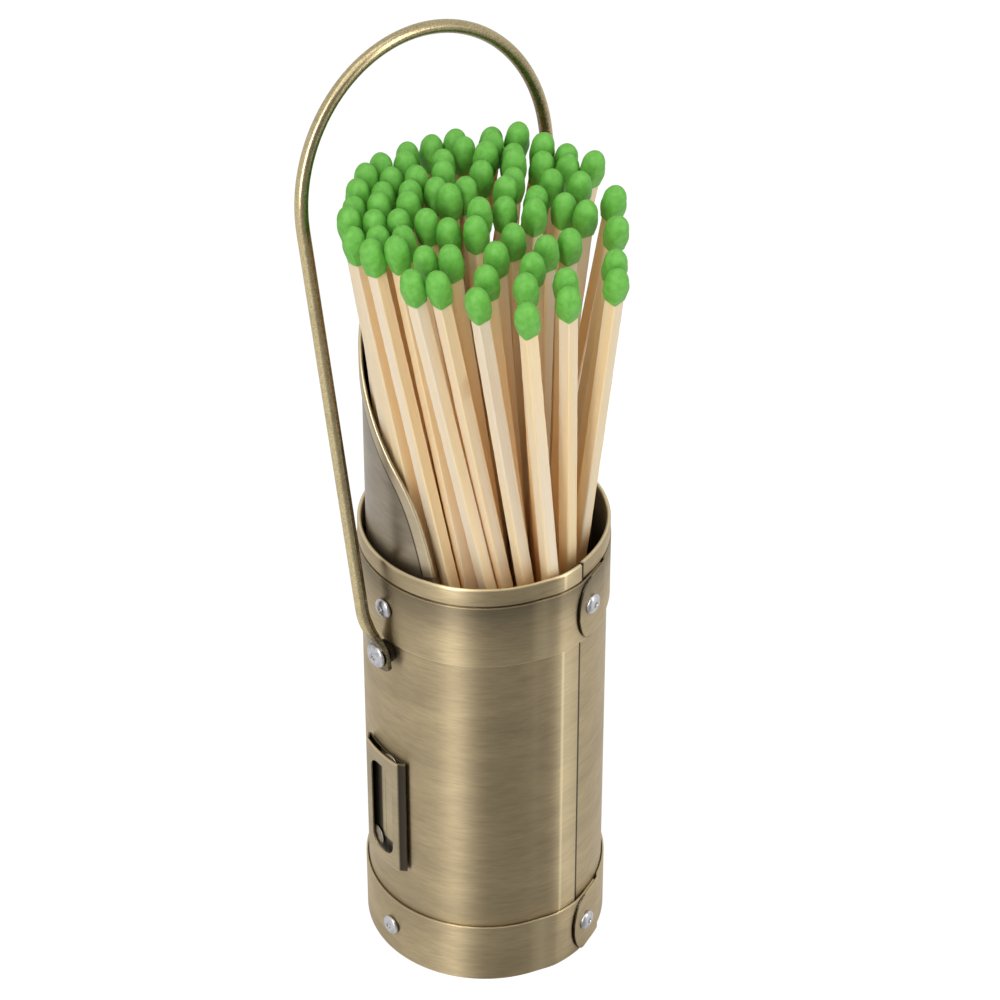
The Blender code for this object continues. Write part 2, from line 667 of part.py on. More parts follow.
def stand_matches():
    """Foot, head and turn of each match: a twisted bunch, then pushed apart until none touches another."""
    random = np.random.default_rng(BUNCH_SEED)
    feet = foot_places()
    count = len(feet)
    twist, away = math.radians(BUNCH_TWIST), math.radians(OPEN_SIDE)
    turned_x = math.cos(twist) * feet[:, 0] - math.sin(twist) * feet[:, 1]
    turned_y = math.sin(twist) * feet[:, 0] + math.cos(twist) * feet[:, 1]
    heads = np.stack([turned_x * HEAD_SPREAD[0], turned_y * HEAD_SPREAD[1]], axis=1)
    heads = heads + np.array([HEAD_SHIFT_X, HEAD_SHIFT_Y])
    open_side = np.array([math.cos(away), math.sin(away)])
    reach = heads @ open_side
    opened = OPENNESS / TUBE_RADIUS * reach ** 2 * np.where(reach > 0, 1.0, OPENNESS_BEHIND)
    heads += np.outer(opened, open_side)
    heads += random.normal(0, HEAD_SCATTER, (count, 2))
    lengths = HEAD_CENTRE * (1 + MATCH_UNEVEN * (random.uniform(0, 1, count) ** 2 - MATCH_SHORT))
    roll = np.radians(random.uniform(-MATCH_ROLL, MATCH_ROLL, count))
    half = STICK_SIDE / 2 * (np.cos(roll) + np.abs(np.sin(roll)))
    i, j = np.triu_indices(count, 1)
    spacing = MATCH_LENGTH / 8
    hood_rise = HOOD_MEAN_HEIGHT + HOOD_SLANT - TUBE_HEIGHT
    walls = [BASE_RIVET_HEIGHT / 2, PAN_TOP, PIVOT_HEIGHT, HOOD_BOTTOM, COLLAR_RIVET_HEIGHT, TUBE_HEIGHT]
    for turn in range(BUNCH_ROUNDS):
        base = foot_heights(feet, heads, lengths)
        rise = np.sqrt(lengths ** 2 - ((heads - feet) ** 2).sum(axis=1))
        top = base + rise
        lower, upper = np.minimum(top[i], top[j]), np.maximum(top[i], top[j])
        heights = [np.full(len(i), spacing * (k + turn * STAGGER_PAIRS % 1)) for k in range(8)]
        heights += [lower, lower - HEAD_RADIUS * 2.15, upper - HEAD_RADIUS * 2.75]
        foot_move, head_move = np.zeros_like(feet), np.zeros_like(heads)
        for height in heights:
            push, share_i, share_j = pair_pushes(height, feet, heads, base, rise, half, i, j)
            for match, share, sign in ((i, share_i, -1), (j, share_j, 1)):
                weight = (1 - share) ** 2 + share ** 2
                np.add.at(foot_move, match, sign * push * ((1 - share) / weight)[:, None])
                np.add.at(head_move, match, sign * push * (share / weight)[:, None])
        feet, heads = feet + foot_move * EASE, heads + head_move * EASE
        stagger = turn * STAGGER_WALLS % 1
        staggered = [TUBE_HEIGHT + hood_rise * (k + stagger) / 6 for k in range(6)]
        staggered += [PIVOT_HEIGHT * (k + stagger) / 4 for k in range(4)]
        for level in walls + staggered:
            share = ((level - base) / rise)[:, None]
            move = wall_moves(level, feet * (1 - share) + heads * share)
            weight = (1 - share) ** 2 + share ** 2
            feet, heads = feet + move * (1 - share) / weight, heads + move * share / weight
        heads = keep_inside_bail(heads, base + np.sqrt(lengths ** 2 - ((heads - feet) ** 2).sum(axis=1)))
    rise = np.sqrt(lengths ** 2 - ((heads - feet) ** 2).sum(axis=1))
    standing = still_clear(feet, heads, base, rise, half)
    top = base + rise
    return [(Vector((*feet[k], base[k])), Vector((*heads[k], top[k])), roll[k]) for k in standing]


def still_clear(feet, heads, base, rise, half):
    """The matches that touch none of those before them: a bunch that is too tight loses some."""
    standing = []
    for k in range(len(feet)):
        i = np.array(standing + [k])[:-1]
        j = np.full(len(i), k)
        touching = False
        for level in np.linspace(BASE_RIVET_HEIGHT / 2, base[k] + rise[k], 40):
            if len(i):
                push = pair_pushes(np.full(len(i), level), feet, heads, base, rise, half, i, j)[0]
                touching = touching or 2 * np.hypot(push[:, 0], push[:, 1]).max() > MATCH_GAP * 0.75
        if not touching:
            standing.append(k)
    return standing


def match_mesh(material):
    """One match, its foot at the origin and its head up: a square stick with a dipped round head."""
    head = bpy.data.meshes.new("match head")
    shape = bmesh.new()
    rings = [(0.0, STICK_SIDE * 0.54), (0.42, HEAD_RADIUS * 0.97), (0.68, HEAD_RADIUS)]
    rings += [(0.89, HEAD_RADIUS * 0.70)]
    sides = 8
    loops = []
    turns = [2 * math.pi * k / sides for k in range(sides)]
    for share, radius in rings:
        height = MATCH_LENGTH - HEAD_LENGTH * (1 - share)
        loops.append([shape.verts.new((radius * math.cos(a), radius * math.sin(a), height)) for a in turns])
    tip = shape.verts.new((0, 0, MATCH_LENGTH))
    shape.faces.new(reversed(loops[0]))
    for lower, upper in zip(loops, loops[1:]):
        for k in range(sides):
            shape.faces.new((lower[k], lower[(k + 1) % sides], upper[(k + 1) % sides], upper[k]))
    for k in range(sides):
        shape.faces.new((loops[-1][k], loops[-1][(k + 1) % sides], tip))
    shape.to_mesh(head)
    shape.free()
    stick = bpy.data.meshes.new("match")
    shape = bmesh.new()
    bmesh.ops.create_cube(shape, size=1.0)
    length = MATCH_LENGTH - HEAD_LENGTH * 0.6
    bmesh.ops.scale(shape, verts=shape.verts, vec=(STICK_SIDE, STICK_SIDE, length))
    bmesh.ops.translate(shape, verts=shape.verts, vec=(0, 0, length / 2))
    shape.to_mesh(stick)
    shape.free()
    stick.materials.append(material)
    return stick, head


def joined(body_mesh, other_mesh, name):
    """The two meshes as one body."""
    scene = bpy.context.scene.collection
    body, other = bpy.data.objects.new(name, body_mesh), bpy.data.objects.new(f"{name} other", other_mesh)
    scene.objects.link(body)
    scene.objects.link(other)
    union = body.modifiers.new("union", "BOOLEAN")
    union.operation = "UNION"
    union.solver = "EXACT"
    union.object = other
    bpy.context.view_layer.update()
    graph = bpy.context.evaluated_depsgraph_get()
    mesh = bpy.data.meshes.new_from_object(body.evaluated_get(graph))
    for used in (body, other):
        bpy.data.objects.remove(used, do_unlink=True)
    return mesh


def room_ahead(line, lines):
    """How near a match comes to any other while it is drawn out along itself."""
    foot, head, roll = line
    out = (head - foot).normalized()
    nearest = MATCH_LENGTH
    for other in lines:
        if other is line:
            continue
        way = other[1] - other[0]
        for step in range(40):
            ahead = head + out * (MATCH_LENGTH * step / 60) - other[0]
            share = min(1.0, max(0.0, ahead.dot(way) / way.dot(way)))
            nearest = min(nearest, (ahead - way * share).length)
    return nearest


def make_matches(collection, material):
    """The outer matches and every second inner one as solids. One at the front can be drawn out."""
    mesh = joined(*match_mesh(material), "match")
    lines = stand_matches()
    by_edge = sorted(lines, key=lambda line: -math.hypot(line[0].x, line[0].y))
    ring = SOLID_MATCHES * 3 // 4
    chosen = (by_edge[:ring] + by_edge[ring::2])[:SOLID_MATCHES]
    foremost = sorted(chosen, key=lambda line: line[1].y + line[1].x)[:5]
    front = max(foremost, key=lambda line: room_ahead(line, chosen))
    others = [line for line in chosen if line is not front]
    names = ["front_match"] + [f"match_{number + 1:02d}" for number in range(len(others))]
    for name, (foot, head, roll) in zip(names, [front] + others):
        match = new_object(name, mesh, collection)
        direction = (head - foot).normalized()
        upright = Vector((0, 0, 1)).rotation_difference(direction).to_matrix().to_4x4()
        length = Matrix.Diagonal((1, 1, (head - foot).length / HEAD_CENTRE, 1))
        match.matrix_world = Matrix.Translation(foot) @ upright @ Matrix.Rotation(roll, 4, "Z") @ length


def make_holder():
    clear_scene()
    parts, cutters = new_collection(OBJECT_NAME), new_collection("cutters")
    brass = new_material("antique brass", BRASS)
    plain = new_material("hood brass", LACQUERED_BRASS)
    aluminium = new_material("rivet aluminium", ALUMINIUM)
    wood = new_material("basswood", BASSWOOD)

    tube = make_tube(parts, brass)
    collar = make_band("collar_band", COLLAR_BOTTOM, parts, brass)
    base = make_band("base_band", 0.0, parts, brass)
    pan = make_pan(parts, brass)
    hood = make_hood(parts, plain)
    bracket = make_bracket(parts, cutters, brass)
    bail = make_bail(parts, cutters, brass)

    far_in, far_out = HOOD_INNER - HOOD_SHIFT - 0.002, BAND_OUTER + 0.004
    for place, azimuth in (("lap", LAP_RIVET), ("left", -90.0), ("right", 90.0), ("back", 180.0)):
        seat = BAND_OUTER + (LAP_STEP if place == "lap" else 0.0)
        hole = drill(azimuth, COLLAR_RIVET_HEIGHT, far_in, far_out, cutters)
        held = [collar, tube] if place == "lap" else [collar, tube, hood]
        inner = TUBE_INNER if place == "lap" else hood_inner_at(azimuth)
        for thing in held:
            cut(thing, hole)
        make_rivet(f"collar_rivet_{place}", azimuth, COLLAR_RIVET_HEIGHT, seat, inner, parts, aluminium)
        hole = drill(azimuth, BASE_RIVET_HEIGHT, far_in, far_out, cutters)
        for thing in (base, tube, pan):
            cut(thing, hole)
        make_rivet(f"base_rivet_{place}", azimuth, BASE_RIVET_HEIGHT, seat, PAN_INNER, parts, aluminium)

    upper_height = BRACKET_BOTTOM + BRACKET_HEIGHT - UPPER_RIVET_DROP
    lower_height = BRACKET_BOTTOM + LOWER_RIVET_RISE
    for name, aside, height in (
            ("upper", UPPER_RIVET_ASIDE, upper_height), ("lower", LOWER_RIVET_ASIDE, lower_height)):
        azimuth = BRACKET_AZIMUTH + aside
        hole = drill(azimuth, height, far_in, (BRACKET_BACK + BRACKET_FRONT) / 2, cutters)
        cut(tube, hole)
        cut(bracket, hole)
        make_rivet(
            f"bracket_rivet_{name}", azimuth, height, BRACKET_BACK + SHEET / 2, TUBE_INNER, parts,
            aluminium, head_radius=FLAT_RIVET_RADIUS, head_height=FLAT_RIVET_HEIGHT)

    ring = [(SPACER_RADIUS, SPACER_LENGTH), (SPACER_RADIUS, 0.0)]
    ring += [(RIVET_HOLE, 0.0), (RIVET_HOLE, SPACER_LENGTH)]
    for side, azimuth in (("left", -90.0), ("right", 90.0)):
        hole = drill(azimuth, PIVOT_HEIGHT, far_in, EYE_OUTER + 0.003, cutters)
        cut(tube, hole)
        cut(bail, hole)
        spacer = turned(f"pivot_spacer_{side}", ring, 20, parts, aluminium, closed=True)
        spacer.matrix_world = outward(azimuth, SPACER_INNER, PIVOT_HEIGHT)
        make_rivet(
            f"pivot_rivet_{side}", azimuth, PIVOT_HEIGHT, EYE_OUTER, TUBE_INNER, parts, aluminium,
            head_radius=PIVOT_HEAD_RADIUS)

    make_matches(parts, wood)
    for thing in parts.objects:
        if not any(modifier.type == "SCREW" for modifier in thing.modifiers):
            smooth(thing)


make_holder()
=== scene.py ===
"""Looks of the match holder: a riveted antique brass cup with a hood, a bail and a bunch of long matches.

Metres, +Z up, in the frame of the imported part. An azimuth is counted from the front (-Y) towards +X,
in degrees.
"""

import math

import bmesh
import bpy
import numpy as np
from mathutils import Matrix, Vector


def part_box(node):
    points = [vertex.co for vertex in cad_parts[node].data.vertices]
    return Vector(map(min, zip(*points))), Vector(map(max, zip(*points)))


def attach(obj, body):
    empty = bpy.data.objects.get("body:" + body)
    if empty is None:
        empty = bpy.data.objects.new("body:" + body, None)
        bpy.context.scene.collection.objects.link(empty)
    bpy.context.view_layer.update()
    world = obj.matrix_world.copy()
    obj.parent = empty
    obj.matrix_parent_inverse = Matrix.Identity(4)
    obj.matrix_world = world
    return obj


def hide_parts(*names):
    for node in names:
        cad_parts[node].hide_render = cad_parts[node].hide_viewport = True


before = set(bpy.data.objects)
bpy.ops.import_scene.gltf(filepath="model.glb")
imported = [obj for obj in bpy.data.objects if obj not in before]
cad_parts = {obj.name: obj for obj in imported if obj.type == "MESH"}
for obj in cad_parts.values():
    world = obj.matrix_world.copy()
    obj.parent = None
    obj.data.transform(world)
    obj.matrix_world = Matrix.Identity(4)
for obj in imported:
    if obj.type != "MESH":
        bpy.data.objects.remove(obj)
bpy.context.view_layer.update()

# Base pan
# A pressed brass dish that closes the foot of the tube, for the matches to stand on.
# It keeps its solid, and has the finish of the brushed sheet that the tube is made from.


def add(tree, kind, values=None, **settings):
    """A node in a tree. A value may be a number, a colour or another node's socket."""
    made = tree.nodes.new(kind)
    for name, setting in settings.items():
        setattr(made, name, setting)
    for name, value in (values or {}).items():
        if isinstance(value, bpy.types.NodeSocket):
            tree.links.new(value, made.inputs[name])
        else:
            made.inputs[name].default_value = value
    return made


def new_material(name, roughness, metallic=1.0):
    material = bpy.data.materials.new(name)
    material.use_nodes = True
    shader = material.node_tree.nodes["Principled BSDF"]
    shader.inputs["Metallic"].default_value = metallic
    shader.inputs["Roughness"].default_value = roughness
    return material, material.node_tree, shader


def strokes(tree, place, around, up, detail=3.0, wander=0.0):
    """Noise drawn out around the tube: how many changes in a metre around it, and up it."""
    stretched = add(tree, "ShaderNodeMapping", {"Vector": place, "Scale": (around, around, up)})
    noise = add(tree, "ShaderNodeTexNoise", {
        "Vector": stretched.outputs["Vector"], "Scale": 1.0, "Detail": detail, "Roughness": 0.6,
        "Distortion": wander})
    return noise.outputs["Fac"]


def levels(tree, value, low, high, out_low=0.0, out_high=1.0):
    """A value with its range from low to high spread to another range."""
    spread = add(tree, "ShaderNodeMapRange", {
        "Value": value, "From Min": low, "From Max": high, "To Min": out_low, "To Max": out_high})
    return spread.outputs["Result"]


def mixed(tree, share, first, second):
    """Colour between two others. Each may be a colour or a socket."""
    mix = add(tree, "ShaderNodeMix", data_type="RGBA")
    for index, value in ((0, share), (6, first), (7, second)):
        if isinstance(value, bpy.types.NodeSocket):
            tree.links.new(value, mix.inputs[index])
        else:
            mix.inputs[index].default_value = value if index == 0 else (*value, 1.0)
    return mix.outputs[2]


def roughen(tree, shader, height, strength, depth):
    """Bumps of a depth in metres from a height between 0 and 1."""
    bump = add(tree, "ShaderNodeBump", {"Strength": strength, "Distance": depth, "Height": height})
    tree.links.new(bump.outputs["Normal"], shader.inputs["Normal"])


# Pale tone for painted highlights and polished spots, near black for painted shade and black faces.
BRASS_HIGHLIGHT_AND_RUB = (0.86, 0.73, 0.46)
BRASS_SHADE_AND_DARK = (0.09, 0.075, 0.055)


def brushed_brass(name, pale, deep, stain, roughness, brushed=0.9):
    """Browned brass, brushed around the tube. Towards a vertex value of 1 it turns pale for painted
    highlights and polished spots, towards -1 near black for painted shade and black faces.
    """
    material, tree, shader = new_material(name, roughness)
    place = add(tree, "ShaderNodeTexCoord").outputs["Object"]
    fine = strokes(tree, place, 260, 3200)
    streak = strokes(tree, place, 130, 900)
    cloud = strokes(tree, place, 32, 90, detail=4.0, wander=0.4)
    tone = mixed(tree, levels(tree, cloud, 0.36, 0.64), pale, deep)
    tone = mixed(tree, levels(tree, streak, 0.45, 0.80, 0.0, 0.30), tone, stain)
    tone = mixed(tree, levels(tree, fine, 0.35, 0.75, 0.0, 0.35), tone, stain)
    rubbed = add(tree, "ShaderNodeAttribute", attribute_name="rubbed").outputs["Fac"]
    tone = mixed(tree, levels(tree, rubbed, 0.0, -1.0), tone, BRASS_SHADE_AND_DARK)
    tone = mixed(tree, levels(tree, rubbed, 0.0, 1.0), tone, BRASS_HIGHLIGHT_AND_RUB)
    tree.links.new(tone, shader.inputs["Base Color"])
    roughen(tree, shader, fine, 0.30, 0.000010)
    shader.inputs["Anisotropic"].default_value = brushed
    shader.inputs["Anisotropic Rotation"].default_value = 0.25
    tangent = add(tree, "ShaderNodeTangent", direction_type="RADIAL", axis="Z")
    tree.links.new(tangent.outputs["Tangent"], shader.inputs["Tangent"])
    return material


antique_brass = brushed_brass(
    "antique brass", pale=(0.60, 0.48, 0.285), deep=(0.49, 0.39, 0.235), stain=(0.26, 0.20, 0.130),
    roughness=0.42)


def repaint(node, material):
    """Gives a solid of the part its finish."""
    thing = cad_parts[node]
    thing.data.materials.clear()
    thing.data.materials.append(material)


repaint("base_pan", antique_brass)

# Body tube
# One brass sheet rolled to a tube. Its outer end laps over the inner one in a seam down the front, and
# its top edge is folded outwards and pressed down to a hem, which ends free beside the seam.
SHEET = 0.0004
SEAT_GAP = 0.0003
LAP_STEP = 0.0005
TUBE_RADIUS = 0.0280
TUBE_MID = TUBE_RADIUS - SHEET / 2
TUBE_HEIGHT = 0.1175
TUBE_SEAM = 8.8
TUBE_LAP = 10.0
TUBE_JOGGLE = 14.0
LAP_START = 360 + TUBE_SEAM - TUBE_LAP
HEM_FOLD = 0.000275
HEM_BOTTOM = TUBE_HEIGHT - 0.0044
HEM_START = TUBE_SEAM + 1.5
SHEET_EDGE = 0.00009
SEAM_SHADE = 2.4
CREST_WIDTH = 1.2
CREST_HIGHLIGHT = 0.65
LAP_HIGHLIGHT = 0.15


def polar(azimuth, radius, height):
    turn = math.radians(azimuth)
    return Vector((radius * math.sin(turn), -radius * math.cos(turn), height))


def ramp(value, start, end):
    """0 before start, 1 past end, and smooth in between."""
    share = min(1.0, max(0.0, (value - start) / (end - start)))
    return share * share * (3 - 2 * share)


def steps(start, end, spacing):
    """Values from start to end, evenly spaced by about the given spacing."""
    count = max(1, round(abs(end - start) / spacing))
    return [start + (end - start) * i / count for i in range(count + 1)]


def sheet_from(name, columns, rubbed, added_light_and_wear=lambda column, row: 0.0, kept=lambda column, row: True):
    """An open sheet through columns of points. Each row has a value of painted light and wear, to which
    another by column adds more.
    """
    shape = bmesh.new()
    brightness = shape.verts.layers.float.new("rubbed")
    grid = [[shape.verts.new(point) for point in column] for column in columns]
    for number, column in enumerate(grid):
        for row, vertex in enumerate(column):
            vertex[brightness] = rubbed[row] + added_light_and_wear(number, row)
    for i in range(len(columns) - 1):
        for j in range(len(columns[0]) - 1):
            if kept(i, j):
                shape.faces.new((grid[i][j], grid[i + 1][j], grid[i + 1][j + 1], grid[i][j + 1]))
    bmesh.ops.delete(shape, geom=[v for v in shape.verts if not v.link_faces], context="VERTS")
    bmesh.ops.recalc_face_normals(shape, faces=shape.faces)
    return new_piece(name, shape)


def new_object(name, data):
    """An object at the origin, in the scene."""
    thing = bpy.data.objects.new(name, data)
    bpy.context.scene.collection.objects.link(thing)
    return thing


def new_piece(name, shape):
    """An object from a bmesh, which is freed."""
    mesh = bpy.data.meshes.new(name)
    shape.to_mesh(mesh)
    shape.free()
    return new_object(name, mesh)


def apply_modifiers(piece, sharp=50.0):
    """Turns a piece with modifiers into a plain smooth mesh with sharp edges past an angle."""
    bpy.context.view_layer.update()
    graph = bpy.context.evaluated_depsgraph_get()
    mesh = bpy.data.meshes.new_from_object(piece.evaluated_get(graph))
    piece.modifiers.clear()
    piece.data = mesh
    mesh.name = piece.name
    mesh.shade_smooth()
    mesh.set_sharp_from_angle(angle=math.radians(sharp))
    return piece


def give_thickness(piece):
    solid = piece.modifiers.new("sheet", "SOLIDIFY")
    solid.thickness = SHEET
    solid.offset = 0.0
    solid.use_even_offset = True


def round_edges(piece, rounding):
    edge = piece.modifiers.new("edge", "BEVEL")
    edge.width = rounding
    edge.segments = 2
    edge.limit_method = "ANGLE"
    edge.angle_limit = math.radians(60)


def thickened(piece):
    """Gives an open sheet its thickness and slightly rounded cut edges."""
    give_thickness(piece)
    round_edges(piece, SHEET_EDGE)
    return apply_modifiers(piece)


def settle(piece, material, body, *nodes):
    """Paints a piece, and puts it on its body in place of its solids."""
    piece.data.materials.clear()
    piece.data.materials.append(material)
    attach(piece, body)
    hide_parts(*nodes)


def tube_radius(azimuth):
    """Middle of the rolled sheet: its outer end steps out to lie over its inner end."""
    return TUBE_MID + LAP_STEP * ramp(azimuth, LAP_START - TUBE_JOGGLE, LAP_START)


def tube_columns(azimuths):
    columns = []
    fold = TUBE_HEIGHT - SHEET / 2 - HEM_FOLD
    for azimuth in azimuths:
        radius = tube_radius(azimuth)
        column = [polar(azimuth, radius, fold * share) for share in (0.0, 0.5, 1.0)]
        for angle in (150, 120, 90, 60, 30, 0):
            out, rise = math.cos(math.radians(angle)), math.sin(math.radians(angle))
            column.append(polar(azimuth, radius + HEM_FOLD * (1 + out), fold + HEM_FOLD * rise))
        column.append(polar(azimuth, radius + 2 * HEM_FOLD, HEM_BOTTOM))
        columns.append(column)
    return columns


def tube_painted_light(azimuth):
    """Painted highlight on the crest of the step up to the lap and faintly over the lap; painted shadow
    beside the free edge.
    """
    if azimuth < LAP_START - TUBE_JOGGLE:
        return -1.0 if azimuth < TUBE_SEAM + SEAM_SHADE else 0.0
    crest = max(0.0, 1 - abs(azimuth - LAP_START) / CREST_WIDTH)
    return CREST_HIGHLIGHT * crest + (LAP_HIGHLIGHT if azimuth > LAP_START else 0.0)


azimuths = steps(TUBE_SEAM - TUBE_LAP + 1.0, TUBE_SEAM, 1.5)
azimuths += steps(TUBE_SEAM, HEM_START, 0.5)[1:]
hem_column = len(azimuths) - 1
azimuths += steps(HEM_START, HEM_START + SEAM_SHADE, 0.3)[1:]
azimuths += steps(HEM_START + SEAM_SHADE, LAP_START - TUBE_JOGGLE, 1.5)[1:]
azimuths += steps(LAP_START - TUBE_JOGGLE, LAP_START, 0.3)[1:]
azimuths += steps(LAP_START, 360 + TUBE_SEAM, 0.6)[1:]
# Painted highlight along the crest of the hem's fold.
tube_fold_highlight = [0.0, 0.0, 0.0, 0.4, 0.9, 1.0, 0.8, 0.3, 0.0, 0.0]
tube = sheet_from("tube", tube_columns(azimuths), tube_fold_highlight,
                  added_light_and_wear=lambda column, row: tube_painted_light(azimuths[column]),
                  kept=lambda column, row: row < 2 or column >= hem_column)
settle(thickened(tube), antique_brass, "holder", "body_tube")

# Collar band and base band
# Two brass strips around the tube, under the hem and at the foot. Each climbs over the tube's seam, and
# has one rounded end that laps over its other end beside the seam, where a rivet holds both.
BAND_MID = TUBE_RADIUS + SEAT_GAP + SHEET / 2
BAND_OUTER = BAND_MID + SHEET / 2
BAND_HEIGHT = 0.0165
BAND_END = 6.1
BAND_LAP = 20.0
BAND_JOGGLE = 3.0
BAND_SLOPE = 12.0
BAND_ROUNDING = 8.0
BAND_CLEAR = 2.0
BAND_ROWS = (-1.0, -0.97, -0.3, 0.3, 0.7, 0.97, 1.0)
CLIMB_HIGHLIGHT = 0.45
CLIMB_MIDDLE = -11.5
CLIMB_REACH = 7.0
TAB_LIFT = 0.0003
TAB_CURL = 5.0
TAB_EDGE_SHADE = -1.4
COLLAR_TOP = HEM_BOTTOM - 0.0006
COLLAR_BOTTOM = COLLAR_TOP - BAND_HEIGHT
LAP_END = BAND_END + BAND_LAP + BAND_CLEAR
CLIMB_END = TUBE_SEAM - TUBE_LAP - BAND_CLEAR


def band_radius(azimuth):
    """Middle of a band that laps over its own inner end, steps over the tube's seam and curls at its tab."""
    around = (azimuth + 180) % 360 - 180
    over_seam = ramp(around, CLIMB_END - BAND_SLOPE, CLIMB_END)
    over_seam -= ramp(around, TUBE_SEAM, TUBE_SEAM + BAND_SLOPE)
    curl = TAB_LIFT * (1 - ramp(azimuth, BAND_END, BAND_END + TAB_CURL))
    return BAND_MID + LAP_STEP * (over_seam + 1 - ramp(azimuth, LAP_END, LAP_END + BAND_JOGGLE)) + curl


def band_piece(name, bottom, node, rubbed):
    middle, half = bottom + BAND_HEIGHT / 2, BAND_HEIGHT / 2
    angles = [math.radians(a) for a in (7, 9, *range(12, 91, 6))]
    places = [(BAND_END + BAND_ROUNDING * (1 - math.cos(a)), half * math.sin(a)) for a in angles]
    marks = [BAND_END + BAND_ROUNDING, LAP_END, LAP_END + BAND_JOGGLE, 360 + CLIMB_END - BAND_SLOPE,
             360 + CLIMB_END, 360 + TUBE_SEAM, 360 + TUBE_SEAM + BAND_SLOPE, 360 + BAND_END + BAND_LAP]
    for start, end in zip(marks, marks[1:]):
        spacing = 0.8 if end - start <= BAND_SLOPE else 1.6
        places += [(azimuth, half) for azimuth in steps(start, end, spacing)[1:]]
    columns = []
    for azimuth, reach in places:
        radius = band_radius(azimuth)
        columns.append([polar(azimuth, radius, middle + reach * share) for share in BAND_ROWS])

    def added_light_and_wear(column, row):
        """Painted shadow along the cut edge around the rounded end, and a painted highlight on the climb to
        the seam.
        """
        at_edge = column == 0 or row in (0, len(BAND_ROWS) - 1)
        if column < len(angles) and at_edge:
            return TAB_EDGE_SHADE
        around = (places[column][0] + 180) % 360 - 180
        return CLIMB_HIGHLIGHT * max(0.0, 1 - abs(around - CLIMB_MIDDLE) / CLIMB_REACH)

    settle(thickened(sheet_from(name, columns, rubbed, added_light_and_wear)), antique_brass, "holder", node)


# Painted highlights along the bands' cut edges; the collar is also darker towards its top.
band_piece("base_strip", 0.0, "base_band", [0.5, 0.0, 0.0, 0.0, 0.0, 0.0, 0.6])
band_piece("collar_strip", COLLAR_BOTTOM, "collar_band", [0.6, 0.05, 0.0, -0.24, -0.48, -0.60, 0.0])

# Hood
# A curved sheet inside the rim that rises at the back, with its slanted edge folded outwards to a flat
# hem. Its outside is dull brown brass, and its inside is black.
HOOD_RADIUS = TUBE_RADIUS - SHEET - 0.00175
HOOD_SHIFT = 0.0013
HOOD_MID = HOOD_RADIUS - SHEET / 2
HOOD_BOTTOM = COLLAR_BOTTOM - SHEET
HOOD_MEAN_HEIGHT = TUBE_HEIGHT + 0.0273
HOOD_SLANT = 0.0291
HOOD_END = 118.0
HOOD_DROP_START = 95.0
HOOD_DROP = 0.0140
HOOD_BELOW_RIM = 0.0015
HOOD_HEM = 0.0031
HOOD_HEM_REACHES = (0.0007, HOOD_HEM - 0.0006, HOOD_HEM - 0.0003, HOOD_HEM)


def hood_edge(back):
    """Height of the hood's edge, by the angle from its middle at the back."""
    drop = max(0.0, (abs(back) - HOOD_DROP_START) / (HOOD_END - HOOD_DROP_START))
    return HOOD_MEAN_HEIGHT + HOOD_SLANT * math.cos(math.radians(back)) - HOOD_DROP * drop ** 3


def hood_point(along, height, outwards=0.0):
    """A point on the hood by its way along the sheet from the middle at the back."""
    back = along / HOOD_MID
    radius = HOOD_MID + outwards
    return Vector((radius * math.sin(back), HOOD_SHIFT + radius * math.cos(back), height))


def hood_columns():
    backs = steps(-HOOD_END, HOOD_END, 2.0)
    edge = [Vector((math.radians(back) * HOOD_MID, hood_edge(back))) for back in backs]
    columns = []
    for i, point in enumerate(edge):
        ahead = edge[min(i + 1, len(edge) - 1)] - edge[max(i - 1, 0)]
        inward = Vector((ahead.y, -ahead.x)).normalized()
        low = min(point.y, TUBE_HEIGHT) - HOOD_BELOW_RIM
        column = [hood_point(point.x, HOOD_BOTTOM), hood_point(point.x, low)]
        for turn in range(0, 181, 30):
            rise = math.sin(math.radians(turn))
            place = point + inward * (HEM_FOLD * (1.4 - rise))
            column.append(hood_point(place.x, place.y, HEM_FOLD * (1 - math.cos(math.radians(turn)))))
        for reach in HOOD_HEM_REACHES:
            place = point + inward * reach
            column.append(hood_point(place.x, place.y, 2 * HEM_FOLD))
        columns.append(column)
    return columns


hood_brass = brushed_brass(
    "hood brass", pale=(0.52, 0.435, 0.32), deep=(0.39, 0.325, 0.24), stain=(0.20, 0.165, 0.125),
    roughness=0.34)
# Along the fold: painted shade in the crease where it starts, a painted highlight over its crest, a paler
# polished hem and painted shadow at the hem's free edge.
hood_fold_light_and_wear = [0.0, 0.0, -0.3, -0.3, 0.0, 0.7, 0.8, 0.4, 0.36, 0.36, 0.36, -0.9, -1.2]
hood = thickened(sheet_from("hood_sheet", hood_columns(), hood_fold_light_and_wear))
for vertex, brightness in zip(hood.data.vertices, hood.data.attributes["rubbed"].data):
    if math.hypot(vertex.co.x, vertex.co.y - HOOD_SHIFT) < HOOD_MID - SHEET / 4:
        brightness.value = -1.0
settle(hood, hood_brass, "holder", "hood")

